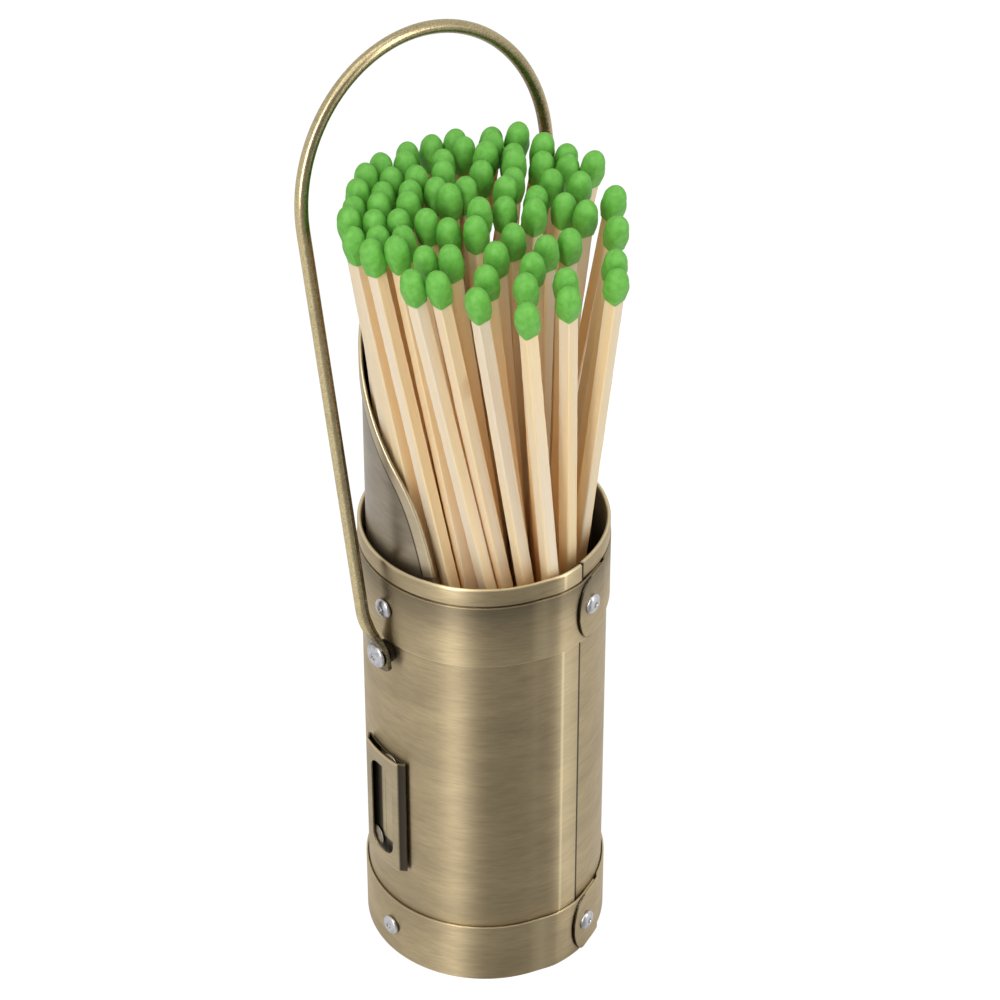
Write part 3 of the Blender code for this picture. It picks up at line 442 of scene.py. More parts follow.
# Side bracket
# A strip folded to a flat channel with leaning sides and a tall slot in its front, held to the left side
# of the tube by two flat rivets. Painted shade darkens its walls and the back inside the channel, except
# for a painted patch of light on the back behind the slot.
BRACKET_AZIMUTH = -93.2
BRACKET_WIDTH = 0.0126
BRACKET_FLARE = 2.4
BRACKET_BOTTOM = 0.0290
BRACKET_HEIGHT = 0.0330
BRACKET_BACK = BAND_MID
BRACKET_FRONT = BRACKET_BACK + 0.0015
BRACKET_CORNER = 0.0004
BRACKET_JOINT = 0.00004
BRACKET_RIM = 0.0005
BRACKET_EDGE = 0.00008
SHADE_ASIDE = -3.0
SHADE_RISE = 0.0022
SHADE_BLEND = 0.0010
BACK_SHADE = -1.4
BACK_LIT_PATCH = 0.15
SLOT_ASIDE = 0.6
SLOT_WIDTH = 0.0080
SLOT_RISE = 0.0032
SLOT_HEIGHT = 0.0262
SLOT_ROUNDING = 0.0030
SLOT_DEPTH = 0.004
SLOT_CLEAR = 0.0001


def outward(azimuth, radius, height):
    """Placement whose local Z points out of the tube at an azimuth, and local Y up."""
    out = polar(azimuth, 1.0, 0.0)
    side = Vector((0, 0, 1)).cross(out)
    turn = Matrix((side, Vector((0, 0, 1)), out)).transposed()
    return Matrix.Translation(polar(azimuth, radius, height)) @ turn.to_4x4()


def slot_cutter():
    shape = bmesh.new()
    bmesh.ops.create_cube(shape, size=1.0)
    bmesh.ops.scale(shape, verts=shape.verts, vec=(SLOT_WIDTH, SLOT_HEIGHT, SLOT_DEPTH))
    upright = [e for e in shape.edges if abs(e.verts[0].co.z - e.verts[1].co.z) > SLOT_DEPTH / 2]
    bmesh.ops.bevel(shape, geom=upright, offset=SLOT_ROUNDING, segments=8, profile=0.5, affect="EDGES")
    inner = (BRACKET_BACK + BRACKET_FRONT) / 2 + SLOT_CLEAR
    height = BRACKET_BOTTOM + SLOT_RISE + SLOT_HEIGHT / 2
    shape.transform(outward(BRACKET_AZIMUTH + SLOT_ASIDE, inner + SLOT_DEPTH / 2, height))
    return new_piece("slot_cutter", shape)


def bracket_piece():
    half = math.degrees((BRACKET_WIDTH - SHEET) / 2 / BRACKET_FRONT)
    joint = math.degrees(BRACKET_JOINT / 2 / BRACKET_BACK)
    corner = math.degrees(BRACKET_CORNER / BRACKET_FRONT)
    foot = half + BRACKET_FLARE
    back = [(a, BRACKET_BACK) for a in steps(joint, foot - corner, 1.0)]
    bends = []
    for edge, centre, first in (
            (foot, BRACKET_BACK + BRACKET_CORNER, -90), (half, BRACKET_FRONT - BRACKET_CORNER, 0)):
        for turn in (22.5, 45, 67.5):
            angle = math.radians(first + turn)
            bends.append((edge - corner * (1 - math.cos(angle)), centre + BRACKET_CORNER * math.sin(angle)))
        if first:
            bends += [(foot, BRACKET_BACK + BRACKET_CORNER), (half, BRACKET_FRONT - BRACKET_CORNER)]
    front = [(a, BRACKET_FRONT) for a in steps(half - corner, -(half - corner), 3.0)]
    path = back + bends + front + [(-a, r) for a, r in reversed(back + bends)]
    shade_top = SLOT_RISE + SHADE_RISE
    rises = (0.0, BRACKET_RIM, shade_top, shade_top + SHADE_BLEND, BRACKET_HEIGHT - BRACKET_RIM, BRACKET_HEIGHT)
    columns = [[polar(BRACKET_AZIMUTH + a, r, BRACKET_BOTTOM + rise) for rise in rises] for a, r in path]

    def added_light_and_wear(column, row):
        """Painted shade on the side walls and the back, but a painted patch of light on one side of the back
        behind the slot.
        """
        aside, reach = path[column]
        if reach > BRACKET_BACK:
            return ramp(reach, BRACKET_FRONT - BRACKET_CORNER, BRACKET_FRONT) - 1.0
        return BACK_LIT_PATCH if row in (3, 4) and aside > SHADE_ASIDE else BACK_SHADE

    # Painted highlight along the front's top edge, and a faint one along its bottom edge.
    piece = sheet_from("bracket", columns, [0.2, 0.0, 0.0, 0.0, 0.0, 0.5], added_light_and_wear)
    give_thickness(piece)
    cutter = slot_cutter()
    cut = piece.modifiers.new("slot", "BOOLEAN")
    cut.operation = "DIFFERENCE"
    cut.solver = "EXACT"
    cut.object = cutter
    round_edges(piece, BRACKET_EDGE)
    apply_modifiers(piece)
    bpy.data.objects.remove(cutter, do_unlink=True)
    return piece


bracket_brass = brushed_brass(
    "bracket brass", pale=(0.56, 0.46, 0.29), deep=(0.44, 0.365, 0.235), stain=(0.28, 0.23, 0.155),
    roughness=0.45, brushed=0.0)
settle(bracket_piece(), bracket_brass, "holder", "side_bracket")

# Rivets and spacers
# Bright aluminium blind rivets hold the bands, the hood and the pan, and are the bail's pivots: a low
# domed head with the hollow that the pulled pin leaves. Two flat browned ones hold the bracket, and the
# spacers behind the bail's eyes keep their solids, coloured near black as painted shade behind the eyes.
RIVET_HEAD_RADIUS = 0.0024
PIVOT_HEAD_RADIUS = 0.0029
RIVET_HEAD_HEIGHT = 0.0011
RIVET_SHANK = 0.0012
RIVET_TAIL_RADIUS = 0.0019
RIVET_TAIL_LENGTH = 0.0010
PATTERN_GRIP = 0.0015
FLAT_RIVET_RADIUS = 0.0026
FLAT_RIVET_HEIGHT = 0.0005
UPPER_RIVET_ASIDE = 5.7
UPPER_RIVET_DROP = 0.0022
LOWER_RIVET_ASIDE = -6.2
LOWER_RIVET_RISE = 0.0048
LAP_RIVET = BAND_END + 9.3
COLLAR_RIVET_HEIGHT = COLLAR_BOTTOM + BAND_HEIGHT / 2 + 0.0006
BASE_RIVET_HEIGHT = BAND_HEIGHT / 2
TUBE_INNER = TUBE_RADIUS - SHEET
PAN_INNER = TUBE_INNER - SEAT_GAP - SHEET
HOOD_INNER = HOOD_RADIUS - SHEET
PIVOT_HEIGHT = COLLAR_BOTTOM - 0.0036
SPACER_LENGTH = 0.0010
EYE_THICKNESS = 0.0014
EYE_INNER = TUBE_RADIUS + SEAT_GAP + SPACER_LENGTH + SEAT_GAP
EYE_OUTER = EYE_INNER + EYE_THICKNESS
PIN_HOLLOW = ((0.0, 0.62), (0.19, 0.60), (0.24, 0.50))
HOLLOW_RIM = (0.28, 0.97)


def join_rings(shape, rings):
    """Faces from each ring of corners to the next. A ring may be one corner, repeated."""
    for first, second in zip(rings, rings[1:]):
        for k in range(len(first)):
            after = (k + 1) % len(first)
            shape.faces.new(list(dict.fromkeys((first[k], first[after], second[after], second[k]))))


def rivet_pattern(head_radius, head_height, hollow):
    """A rivet turned about Z, its head above 0. The tail moves with the thickness that it holds."""
    profile = [(head_radius * out, head_height * (1 - hollow * deep)) for out, deep in PIN_HOLLOW]
    profile.append((head_radius * HOLLOW_RIM[0], head_height * HOLLOW_RIM[1]))
    for turn in (80, 70, 58, 45, 32, 20, 10):
        angle = math.radians(turn)
        out, rise = 0.30 + 0.70 * math.cos(angle), 0.18 + 0.82 * math.sin(angle)
        profile.append((head_radius * out, head_height * rise))
    profile += [(head_radius, head_height * 0.12), (head_radius * 0.985, 0.0), (RIVET_SHANK, 0.0)]
    tail = -PATTERN_GRIP - RIVET_TAIL_LENGTH
    profile += [(RIVET_SHANK, -PATTERN_GRIP), (RIVET_TAIL_RADIUS, -PATTERN_GRIP - RIVET_TAIL_LENGTH * 0.2),
                (RIVET_TAIL_RADIUS * 0.75, tail), (0.0, tail)]
    shape = bmesh.new()
    turns = [2 * math.pi * k / 32 for k in range(32)]
    rings = [[shape.verts.new((r * math.cos(a), r * math.sin(a), z)) for a in turns] if r else
             [shape.verts.new((0, 0, z))] * 32 for r, z in profile]
    join_rings(shape, rings)
    bmesh.ops.recalc_face_normals(shape, faces=shape.faces)
    piece = new_piece("rivet_pattern", shape)
    values = [-1.0 if v.co.z < -PATTERN_GRIP / 2 else 0.0 for v in piece.data.vertices]
    piece.data.attributes.new("moves", "FLOAT", "POINT").data.foreach_set("value", values)
    return piece


def copies_tree():
    """Puts a copy of a pattern at each point, turned, longer where it moves, and a little rough."""
    tree = bpy.data.node_groups.new("placed copies", "GeometryNodeTree")
    for name, kind in (
            ("Points", "Geometry"), ("Pattern", "Object"), ("Roughness", "Float"),
            ("Roughness scale", "Vector"), ("Finish", "Material")):
        tree.interface.new_socket(name, in_out="INPUT", socket_type=f"NodeSocket{kind}")
    tree.interface.new_socket("Copies", in_out="OUTPUT", socket_type="NodeSocketGeometry")
    given = add(tree, "NodeGroupInput").outputs

    def attribute(name, kind="FLOAT_VECTOR"):
        named = add(tree, "GeometryNodeInputNamedAttribute", {"Name": name}, data_type=kind)
        return named.outputs["Attribute"]

    def vector(operation, values):
        return add(tree, "ShaderNodeVectorMath", values, operation=operation).outputs["Vector"]

    pattern = add(tree, "GeometryNodeObjectInfo", {"Object": given["Pattern"]}).outputs["Geometry"]
    place = add(tree, "GeometryNodeInputPosition").outputs["Position"]
    marked = add(tree, "GeometryNodeStoreNamedAttribute",
                 {"Geometry": pattern, "Name": "grain", "Value": place},
                 data_type="FLOAT_VECTOR", domain="POINT").outputs["Geometry"]
    turn = add(tree, "FunctionNodeEulerToRotation", {"Euler": attribute("turn")}).outputs["Rotation"]
    copied = add(tree, "GeometryNodeInstanceOnPoints", {
        "Points": given["Points"], "Instance": marked, "Rotation": turn}).outputs["Instances"]
    real = add(tree, "GeometryNodeRealizeInstances", {"Geometry": copied}).outputs["Geometry"]
    longer = vector("SCALE", {0: attribute("extra"), "Scale": attribute("moves", "FLOAT")})
    own = vector("SCALE", {0: (31.7, 17.3, 11.9), "Scale": attribute("number", "FLOAT")})
    spot = vector("MULTIPLY_ADD", {0: attribute("grain"), 1: given["Roughness scale"], 2: own})
    noise = add(tree, "ShaderNodeTexNoise", {"Vector": spot, "Scale": 1.0, "Detail": 2.0}).outputs["Color"]
    centred = vector("SUBTRACT", {0: noise, 1: (0.5, 0.5, 0.5)})
    rough = vector("SCALE", {0: centred, "Scale": given["Roughness"]})
    offset = vector("ADD", {0: longer, 1: rough})
    moved = add(tree, "GeometryNodeSetPosition", {"Geometry": real, "Offset": offset}).outputs["Geometry"]
    painted = add(tree, "GeometryNodeSetMaterial", {"Geometry": moved, "Material": given["Finish"]})
    add(tree, "NodeGroupOutput", {"Copies": painted.outputs["Geometry"]})
    return tree


placed_copies = copies_tree()


def copies(name, places, pattern, finish, roughness=0.0, scale=(0.0, 0.0, 0.0)):
    """A plain mesh of copies. Each place gives a matrix, the extra length and a number of its own."""
    mesh = bpy.data.meshes.new(name)
    matrices, lengths, numbers = zip(*places)
    mesh.from_pydata([matrix.to_translation() for matrix in matrices], [], [])
    turns = [list(matrix.to_euler()) for matrix in matrices]
    extras = [list(matrix.to_3x3() @ Vector((0, 0, length))) for matrix, length in zip(matrices, lengths)]
    for key, kind, field, values in (
            ("turn", "FLOAT_VECTOR", "vector", turns), ("extra", "FLOAT_VECTOR", "vector", extras),
            ("number", "FLOAT", "value", numbers)):
        mesh.attributes.new(key, kind, "POINT").data.foreach_set(field, np.ravel(values).astype(np.float32))
    piece = new_object(name, mesh)
    maker = piece.modifiers.new("copies", "NODES")
    maker.node_group = placed_copies
    sockets = placed_copies.interface.items_tree
    keys = {socket.name: socket.identifier for socket in sockets if socket.in_out == "INPUT"}
    maker[keys["Pattern"]] = pattern
    maker[keys["Roughness"]] = roughness
    maker[keys["Roughness scale"]] = scale
    maker[keys["Finish"]] = finish
    return apply_modifiers(piece, 40.0)


def hood_inner_at(azimuth):
    """Distance from the tube's axis to the inside of the hood at an azimuth."""
    across, along = math.sin(math.radians(azimuth)), -math.cos(math.radians(azimuth))
    return HOOD_SHIFT * along + math.sqrt(HOOD_INNER ** 2 - (HOOD_SHIFT * across) ** 2)


def rivet_place(azimuth, height, outer, inner, number):
    """A rivet whose head sits on radius outer and whose tail starts at radius inner."""
    grip = outer + SEAT_GAP - (inner - SEAT_GAP)
    spun = outward(azimuth, outer + SEAT_GAP, height) @ Matrix.Rotation(number, 4, "Z")
    return spun, grip - PATTERN_GRIP, number


def spotted_metal(name, pale, dark, roughness):
    material, tree, shader = new_material(name, roughness)
    place = add(tree, "ShaderNodeTexCoord").outputs["Object"]
    spots = strokes(tree, place, 900, 900)
    tree.links.new(mixed(tree, levels(tree, spots, 0.45, 0.7), pale, dark), shader.inputs["Base Color"])
    roughen(tree, shader, strokes(tree, place, 700, 700), 0.3, 0.00004)
    return material


aluminium = spotted_metal("rivet aluminium", (0.64, 0.64, 0.66), (0.42, 0.42, 0.44), 0.34)
browned = spotted_metal("browned rivet", (0.34, 0.30, 0.23), (0.26, 0.23, 0.18), 0.50)
# Painted shade: the spacers are near black for the shadow behind the bail's eyes.
spacer_shade_black = spotted_metal("browned spacer", (0.050, 0.042, 0.032), (0.035, 0.030, 0.024), 0.50)
places = {"band": [], "pivot": [], "flat": []}
rivet_nodes = {"band": [], "pivot": [], "flat": []}
sides = (("lap", LAP_RIVET), ("left", -90.0), ("right", 90.0), ("back", 180.0))
for number, (side, azimuth) in enumerate(sides):
    seat = BAND_OUTER + (LAP_STEP if side == "lap" else 0.0)
    inner = TUBE_INNER if side == "lap" else hood_inner_at(azimuth)
    places["band"].append(rivet_place(azimuth, COLLAR_RIVET_HEIGHT, seat, inner, number))
    places["band"].append(rivet_place(azimuth, BASE_RIVET_HEIGHT, seat, PAN_INNER, number + 0.5))
    rivet_nodes["band"] += [f"collar_rivet_{side}", f"base_rivet_{side}"]
for side, azimuth in (("left", -90.0), ("right", 90.0)):
    places["pivot"].append(rivet_place(azimuth, PIVOT_HEIGHT, EYE_OUTER, TUBE_INNER, azimuth / 40))
    rivet_nodes["pivot"].append(f"pivot_rivet_{side}")
    repaint(f"pivot_spacer_{side}", spacer_shade_black)
upper_height = BRACKET_BOTTOM + BRACKET_HEIGHT - UPPER_RIVET_DROP
lower_height = BRACKET_BOTTOM + LOWER_RIVET_RISE
for side, aside, height in (
        ("upper", UPPER_RIVET_ASIDE, upper_height), ("lower", LOWER_RIVET_ASIDE, lower_height)):
    azimuth = BRACKET_AZIMUTH + aside
    places["flat"].append(rivet_place(azimuth, height, BRACKET_BACK + SHEET / 2, TUBE_INNER, height))
    rivet_nodes["flat"].append(f"bracket_rivet_{side}")
for name, pattern, finish in (
        ("band", rivet_pattern(RIVET_HEAD_RADIUS, RIVET_HEAD_HEIGHT, 1.0), aluminium),
        ("pivot", rivet_pattern(PIVOT_HEAD_RADIUS, RIVET_HEAD_HEIGHT, 1.0), aluminium),
        ("flat", rivet_pattern(FLAT_RIVET_RADIUS, FLAT_RIVET_HEIGHT, 0.3), browned)):
    settle(copies(f"{name}_rivets", places[name], pattern, finish), finish, "holder", *rivet_nodes[name])
    bpy.data.objects.remove(pattern, do_unlink=True)

# Bail
# Round wire bent to an arch, both ends bent in and hammered flat to an eye on its pivot rivet. It leans
# back. Its outer side carries a painted highlight and its inner side painted shade, the crown a value
# between them, and the eyes the dark tone.
MATCH_LENGTH = 0.2025
BAIL_LEAN = 10.3
BAIL_HALF_WIDTH = EYE_OUTER + 0.0023
BAIL_LEG = MATCH_LENGTH - PIVOT_HEIGHT - 0.0046
WIRE_RADIUS = 0.0015
BEND_START = PIVOT_HEAD_RADIUS + 3 * SEAT_GAP
BEND_END = BEND_START + 0.0089
EYE_WIDTH = 0.0062
EYE_BELOW = 0.0036
EYE_ABOVE = 0.0058
EYE_CORNER = 0.0007
LEAN_START = BEND_START - 0.0046
FLAT_START = EYE_WIDTH * 0.25
WIDE_END = EYE_ABOVE + 0.0012
THIN_END = EYE_ABOVE + 0.0032
CROWN_BLEND = 0.7
CROWN_LIGHT_LEVEL = 0.4


def bail_sections():
    """Along one leg and over the arch: middle (x, z), half thickness, half width, squareness."""
    middle = (EYE_INNER + EYE_OUTER) / 2
    side = []
    heights = [-EYE_BELOW + rise for rise in (0.00002, 0.00025, EYE_CORNER)]
    heights += steps(-EYE_BELOW + 2 * EYE_CORNER, BEND_END, EYE_CORNER)
    for z in heights:
        across = middle + (BAIL_HALF_WIDTH - middle) * ramp(z, LEAN_START, BEND_END)
        flat = 1 - ramp(z, FLAT_START, WIDE_END)
        thin = 1 - ramp(z, FLAT_START, THIN_END)
        thick = WIRE_RADIUS + (EYE_THICKNESS / 2 - WIRE_RADIUS) * thin
        wide = WIRE_RADIUS + (EYE_WIDTH / 2 - WIRE_RADIUS) * flat
        wide -= EYE_CORNER * (1 - min(1.0, (z + EYE_BELOW) / EYE_CORNER)) ** 2
        side.append((across, z, thick, wide, 2 + 8 * flat))
    for z in steps(BEND_END, BAIL_LEG, 0.004)[1:]:
        side.append((BAIL_HALF_WIDTH, z, WIRE_RADIUS, WIRE_RADIUS, 2.0))
    arc = []
    for degrees in steps(0, 180, 3.0)[1:-1]:
        turn = math.radians(degrees)
        x, z = BAIL_HALF_WIDTH * math.cos(turn), BAIL_LEG + BAIL_HALF_WIDTH * math.sin(turn)
        arc.append((x, z, WIRE_RADIUS, WIRE_RADIUS, 2.0))
    return side + arc + [(-x, z, thick, wide, square) for x, z, thick, wide, square in reversed(side)]


def squared(turn, square):
    """A point at an angle on a unit outline that is round at squareness 2 and square above it."""
    c, s = math.cos(turn), math.sin(turn)
    reach = (abs(c) ** square + abs(s) ** square) ** (-1 / square)
    return c * reach, s * reach


def bail_piece():
    sections = bail_sections()
    middles = [Vector((x, 0, z)) for x, z, thick, wide, square in sections]
    placement = Matrix.Translation((0, 0, PIVOT_HEIGHT)) @ Matrix.Rotation(math.radians(-BAIL_LEAN), 4, "X")
    shape = bmesh.new()
    brightness = shape.verts.layers.float.new("rubbed")
    turns = [2 * math.pi * k / 20 for k in range(20)]
    rings = []
    for i, (x, z, thick, wide, square) in enumerate(sections):
        ahead = (middles[min(i + 1, len(middles) - 1)] - middles[max(i - 1, 0)]).normalized()
        aside = Vector((ahead.z, 0, -ahead.x))
        ring = []
        for turn in turns:
            out, along = squared(turn, square)
            place = middles[i] + aside * thick * out + Vector((0, wide * along, 0))
            ring.append(shape.verts.new(placement @ place))
            # Painted highlight on the wire's outer side and painted shade on its inner side, fading to a
            # middle value over the crown.
            rubbed = ramp(math.cos(turn), -0.3, 0.7) * ramp(z, EYE_ABOVE - 0.001, EYE_ABOVE + 0.003)
            crown = CROWN_BLEND * ramp(z, BAIL_LEG, BAIL_LEG + BAIL_HALF_WIDTH)
            ring[-1][brightness] = rubbed + crown * (CROWN_LIGHT_LEVEL - rubbed)
        rings.append(ring)
    join_rings(shape, rings)
    shape.faces.new(rings[0])
    shape.faces.new(rings[-1])
    bmesh.ops.recalc_face_normals(shape, faces=shape.faces)
    return apply_modifiers(new_piece("bail_wire", shape), 55.0)


wire_brass, tree, shader = new_material("wire brass", 0.26)
place = add(tree, "ShaderNodeTexCoord").outputs["Object"]
specks = strokes(tree, place, 2400, 2400)
cloud = strokes(tree, place, 120, 120)
# The pale tone is the painted highlight of the wire's outer side, the dark one its painted shade, which the
# eyes take as well.
bright = mixed(tree, levels(tree, specks, 0.35, 0.62), (0.55, 0.45, 0.25), (0.75, 0.63, 0.36))
dark = mixed(tree, levels(tree, specks, 0.40, 0.60), (0.12, 0.097, 0.055), (0.28, 0.225, 0.125))
rubbed = add(tree, "ShaderNodeAttribute", attribute_name="rubbed").outputs["Fac"]
tone = mixed(tree, rubbed, dark, bright)
tone = mixed(tree, levels(tree, cloud, 0.50, 0.80, 0.0, 0.4), tone, (0.22, 0.165, 0.090))
tree.links.new(tone, shader.inputs["Base Color"])
roughen(tree, shader, specks, 0.25, 0.00002)
settle(bail_piece(), wire_brass, "bail", "bail")

# Matches
# Square sticks of pale split wood, dipped in green paste that dries to a matte egg-shaped head. They
# stand on the pan in a twisted bunch, laid out by the same rule as the solids, with those between them.
STICK_SIDE = 0.0030
HEAD_RADIUS = 0.0024
HEAD_LENGTH = 0.0096
MATCH_GAP = 0.0004
MATCH_UNEVEN = 0.0117
MATCH_SHORT = 0.097
MATCH_ROLL = 9.0
BUNCH_TWIST = -101.57
HEAD_SPREAD = (1.283, 1.392)
HEAD_SHIFT = (-0.00267, 0.00481)
OPEN_SIDE = -97.47
OPENNESS = 0.486
OPENNESS_BEHIND = 0.403
HEAD_SCATTER = 0.00239
WELL_SIDE = 0.0068
WELL_EDGE = 0.0010
HEAD_ZONE = 0.0065
HEAD_DROP = 0.0010
HEAD_ABOVE = 0.0050
STICK_ROUND = 0.633
BUNCH_SEED = 5
BUNCH_ROUNDS = 260
EASE = 0.45
STAGGER_PAIRS = 0.382
STAGGER_WALLS = 0.618
PAN_FLOOR = SHEET
PAN_TOP = BASE_RIVET_HEIGHT + 0.0036
FOOT_SPACING = 1.55 * STICK_SIDE + MATCH_GAP
FOOT_SPREAD = PAN_INNER - 1.4 * STICK_SIDE
HEAD_CENTRE = MATCH_LENGTH - 2.2 * HEAD_RADIUS
HALF_DIAGONAL = STICK_SIDE * math.sqrt(0.5)


def foot_places():
    """Where the matches could stand: a hexagonal lattice that leaves a well open in the middle."""
    rows = int(FOOT_SPREAD / FOOT_SPACING) + 2
    places = []
    for j in range(-rows, rows + 1):
        for i in range(-rows, rows + 1):
            x = (i + 0.5 * (j % 2)) * FOOT_SPACING
            y = j * FOOT_SPACING * math.sqrt(0.75)
            if WELL_SIDE / 2 + WELL_EDGE < math.hypot(x, y) < FOOT_SPREAD:
                places.append((x, y))
    return np.array(places)


def pair_pushes(level, feet, heads, base, rise, half, i, j):
    """How far each pair of matches overlaps at a height, as a push from i towards j."""
    top = base + rise
    share_i, share_j = (level - base[i]) / rise[i], (level - base[j]) / rise[j]
    place_i = feet[i] + (heads[i] - feet[i]) * share_i[:, None]
    place_j = feet[j] + (heads[j] - feet[j]) * share_j[:, None]
    apart = place_j - place_i
    reach = np.hypot(apart[:, 0], apart[:, 1])
    headed_i = np.abs(level - top[i] + HEAD_DROP) < HEAD_ZONE
    headed_j = np.abs(level - top[j] + HEAD_DROP) < HEAD_ZONE
    there = (share_i > -0.01) & (share_j > -0.01)
    there &= (level < top[i] + HEAD_ABOVE) & (level < top[j] + HEAD_ABOVE)
    around = STICK_SIDE * STICK_ROUND
    needed = np.where(headed_i, HEAD_RADIUS, around) + np.where(headed_j, HEAD_RADIUS, around) + MATCH_GAP
    round_short = np.where(there & (headed_i | headed_j), needed - reach, 0).clip(0)
    square_short = half[i] + half[j] + MATCH_GAP - np.abs(apart).max(axis=1)
    square_short = np.where(there & ~headed_i & ~headed_j, square_short, 0).clip(0)
    wide = np.abs(apart[:, 0]) >= np.abs(apart[:, 1])
    push = apart / np.maximum(reach, 1e-9)[:, None] * round_short[:, None]
    push[:, 0] += np.where(wide, np.sign(apart[:, 0]), 0) * square_short
    push[:, 1] += np.where(wide, 0, np.sign(apart[:, 1])) * square_short
    return push * 0.5, share_i.clip(0, 1), share_j.clip(0, 1)


def wall_moves(level, points):
    """How far each point at a height must move to clear the tube, the hood, rivet tails and the well."""
    clear = HALF_DIAGONAL + SEAT_GAP
    tails = SEAT_GAP + RIVET_TAIL_LENGTH
    move = np.zeros_like(points)
    if level <= TUBE_HEIGHT:
        reach = np.hypot(points[:, 0], points[:, 1])
        wall = PAN_INNER if level < PAN_TOP else TUBE_INNER
        wall -= tails if level < TUBE_HEIGHT else 0.0
        move -= points * ((reach - (wall - clear)).clip(0) / reach)[:, None]
        near = np.abs(points).max(axis=1)
        short = (WELL_SIDE / 2 + STICK_SIDE * 0.575 + SEAT_GAP - near).clip(0)
        wide = np.abs(points[:, 0]) >= np.abs(points[:, 1])
        move[:, 0] += np.where(wide, np.sign(points[:, 0]), 0) * short
        move[:, 1] += np.where(wide, 0, np.sign(points[:, 1])) * short
    if level >= HOOD_BOTTOM:
        shifted = points - np.array([0, HOOD_SHIFT])
        reach = np.hypot(shifted[:, 0], shifted[:, 1])
        back = np.degrees(np.arctan2(np.abs(shifted[:, 0]), shifted[:, 1]))
        edge = HOOD_MEAN_HEIGHT + HOOD_SLANT * np.cos(np.radians(back))
        room = HOOD_INNER - clear - (tails if abs(level - COLLAR_RIVET_HEIGHT) < RIVET_TAIL_RADIUS else 0.0)
        over = np.where((level < edge + STICK_SIDE) & (back < HOOD_END + 6), (reach - room).clip(0), 0)
        move -= shifted * (over / reach)[:, None]
    return move


def keep_inside_bail(heads, top):
    """Holds the heads inside the loop that the bail sweeps as it swings over."""
    sweep = np.hypot(heads[:, 1], top - PIVOT_HEIGHT) + HEAD_RADIUS
    room = BAIL_HALF_WIDTH - WIRE_RADIUS - HEAD_RADIUS - 2 * SEAT_GAP
    span = np.sqrt((room ** 2 - (sweep - BAIL_LEG).clip(0) ** 2).clip(0))
    heads[:, 0] = heads[:, 0].clip(-span, span)
    return heads


def stand_matches():
    """Foot, head and turn of each match: a twisted bunch, then pushed apart until none touches another."""
    random = np.random.default_rng(BUNCH_SEED)
    feet = foot_places()
    count = len(feet)
    twist, away = math.radians(BUNCH_TWIST), math.radians(OPEN_SIDE)
    turned_x = math.cos(twist) * feet[:, 0] - math.sin(twist) * feet[:, 1]
    turned_y = math.sin(twist) * feet[:, 0] + math.cos(twist) * feet[:, 1]
    heads = np.stack([turned_x * HEAD_SPREAD[0], turned_y * HEAD_SPREAD[1]], axis=1) + np.array(HEAD_SHIFT)
    open_side = np.array([math.cos(away), math.sin(away)])
    reach = heads @ open_side
    opened = OPENNESS / TUBE_RADIUS * reach ** 2 * np.where(reach > 0, 1.0, OPENNESS_BEHIND)
    heads += np.outer(opened, open_side)
    heads += random.normal(0, HEAD_SCATTER, (count, 2))
    lengths = HEAD_CENTRE * (1 + MATCH_UNEVEN * (random.uniform(0, 1, count) ** 2 - MATCH_SHORT))
    roll = np.radians(random.uniform(-MATCH_ROLL, MATCH_ROLL, count))
    half = STICK_SIDE / 2 * (np.cos(roll) + np.abs(np.sin(roll)))
    i, j = np.triu_indices(count, 1)
    spacing = MATCH_LENGTH / 8
    hood_rise = HOOD_MEAN_HEIGHT + HOOD_SLANT - TUBE_HEIGHT
    walls = [BASE_RIVET_HEIGHT / 2, PAN_TOP, PIVOT_HEIGHT, HOOD_BOTTOM, COLLAR_RIVET_HEIGHT, TUBE_HEIGHT]
    for turn in range(BUNCH_ROUNDS):
        base = PAN_FLOOR + SEAT_GAP + STICK_SIDE / 2 * np.abs(heads - feet).sum(axis=1) / lengths * 1.15
        rise = np.sqrt(lengths ** 2 - ((heads - feet) ** 2).sum(axis=1))
        top = base + rise
        lower, upper = np.minimum(top[i], top[j]), np.maximum(top[i], top[j])
        heights = [np.full(len(i), spacing * (k + turn * STAGGER_PAIRS % 1)) for k in range(8)]
        heights += [lower, lower - HEAD_RADIUS * 2.15, upper - HEAD_RADIUS * 2.75]
        foot_move, head_move = np.zeros_like(feet), np.zeros_like(heads)
        for height in heights:
            push, share_i, share_j = pair_pushes(height, feet, heads, base, rise, half, i, j)
            for match, share, sign in ((i, share_i, -1), (j, share_j, 1)):
                weight = (1 - share) ** 2 + share ** 2
                np.add.at(foot_move, match, sign * push * ((1 - share) / weight)[:, None])
                np.add.at(head_move, match, sign * push * (share / weight)[:, None])
        feet, heads = feet + foot_move * EASE, heads + head_move * EASE
        stagger = turn * STAGGER_WALLS % 1
        staggered = [TUBE_HEIGHT + hood_rise * (k + stagger) / 6 for k in range(6)]
        staggered += [PIVOT_HEIGHT * (k + stagger) / 4 for k in range(4)]
        for level in walls + staggered:
            share = ((level - base) / rise)[:, None]
            move = wall_moves(level, feet * (1 - share) + heads * share)
            weight = (1 - share) ** 2 + share ** 2
            feet, heads = feet + move * (1 - share) / weight, heads + move * share / weight
        heads = keep_inside_bail(heads, base + np.sqrt(lengths ** 2 - ((heads - feet) ** 2).sum(axis=1)))
    top = base + np.sqrt(lengths ** 2 - ((heads - feet) ** 2).sum(axis=1))
    return [(Vector((*feet[k], base[k])), Vector((*heads[k], top[k])), roll[k]) for k in range(count)]


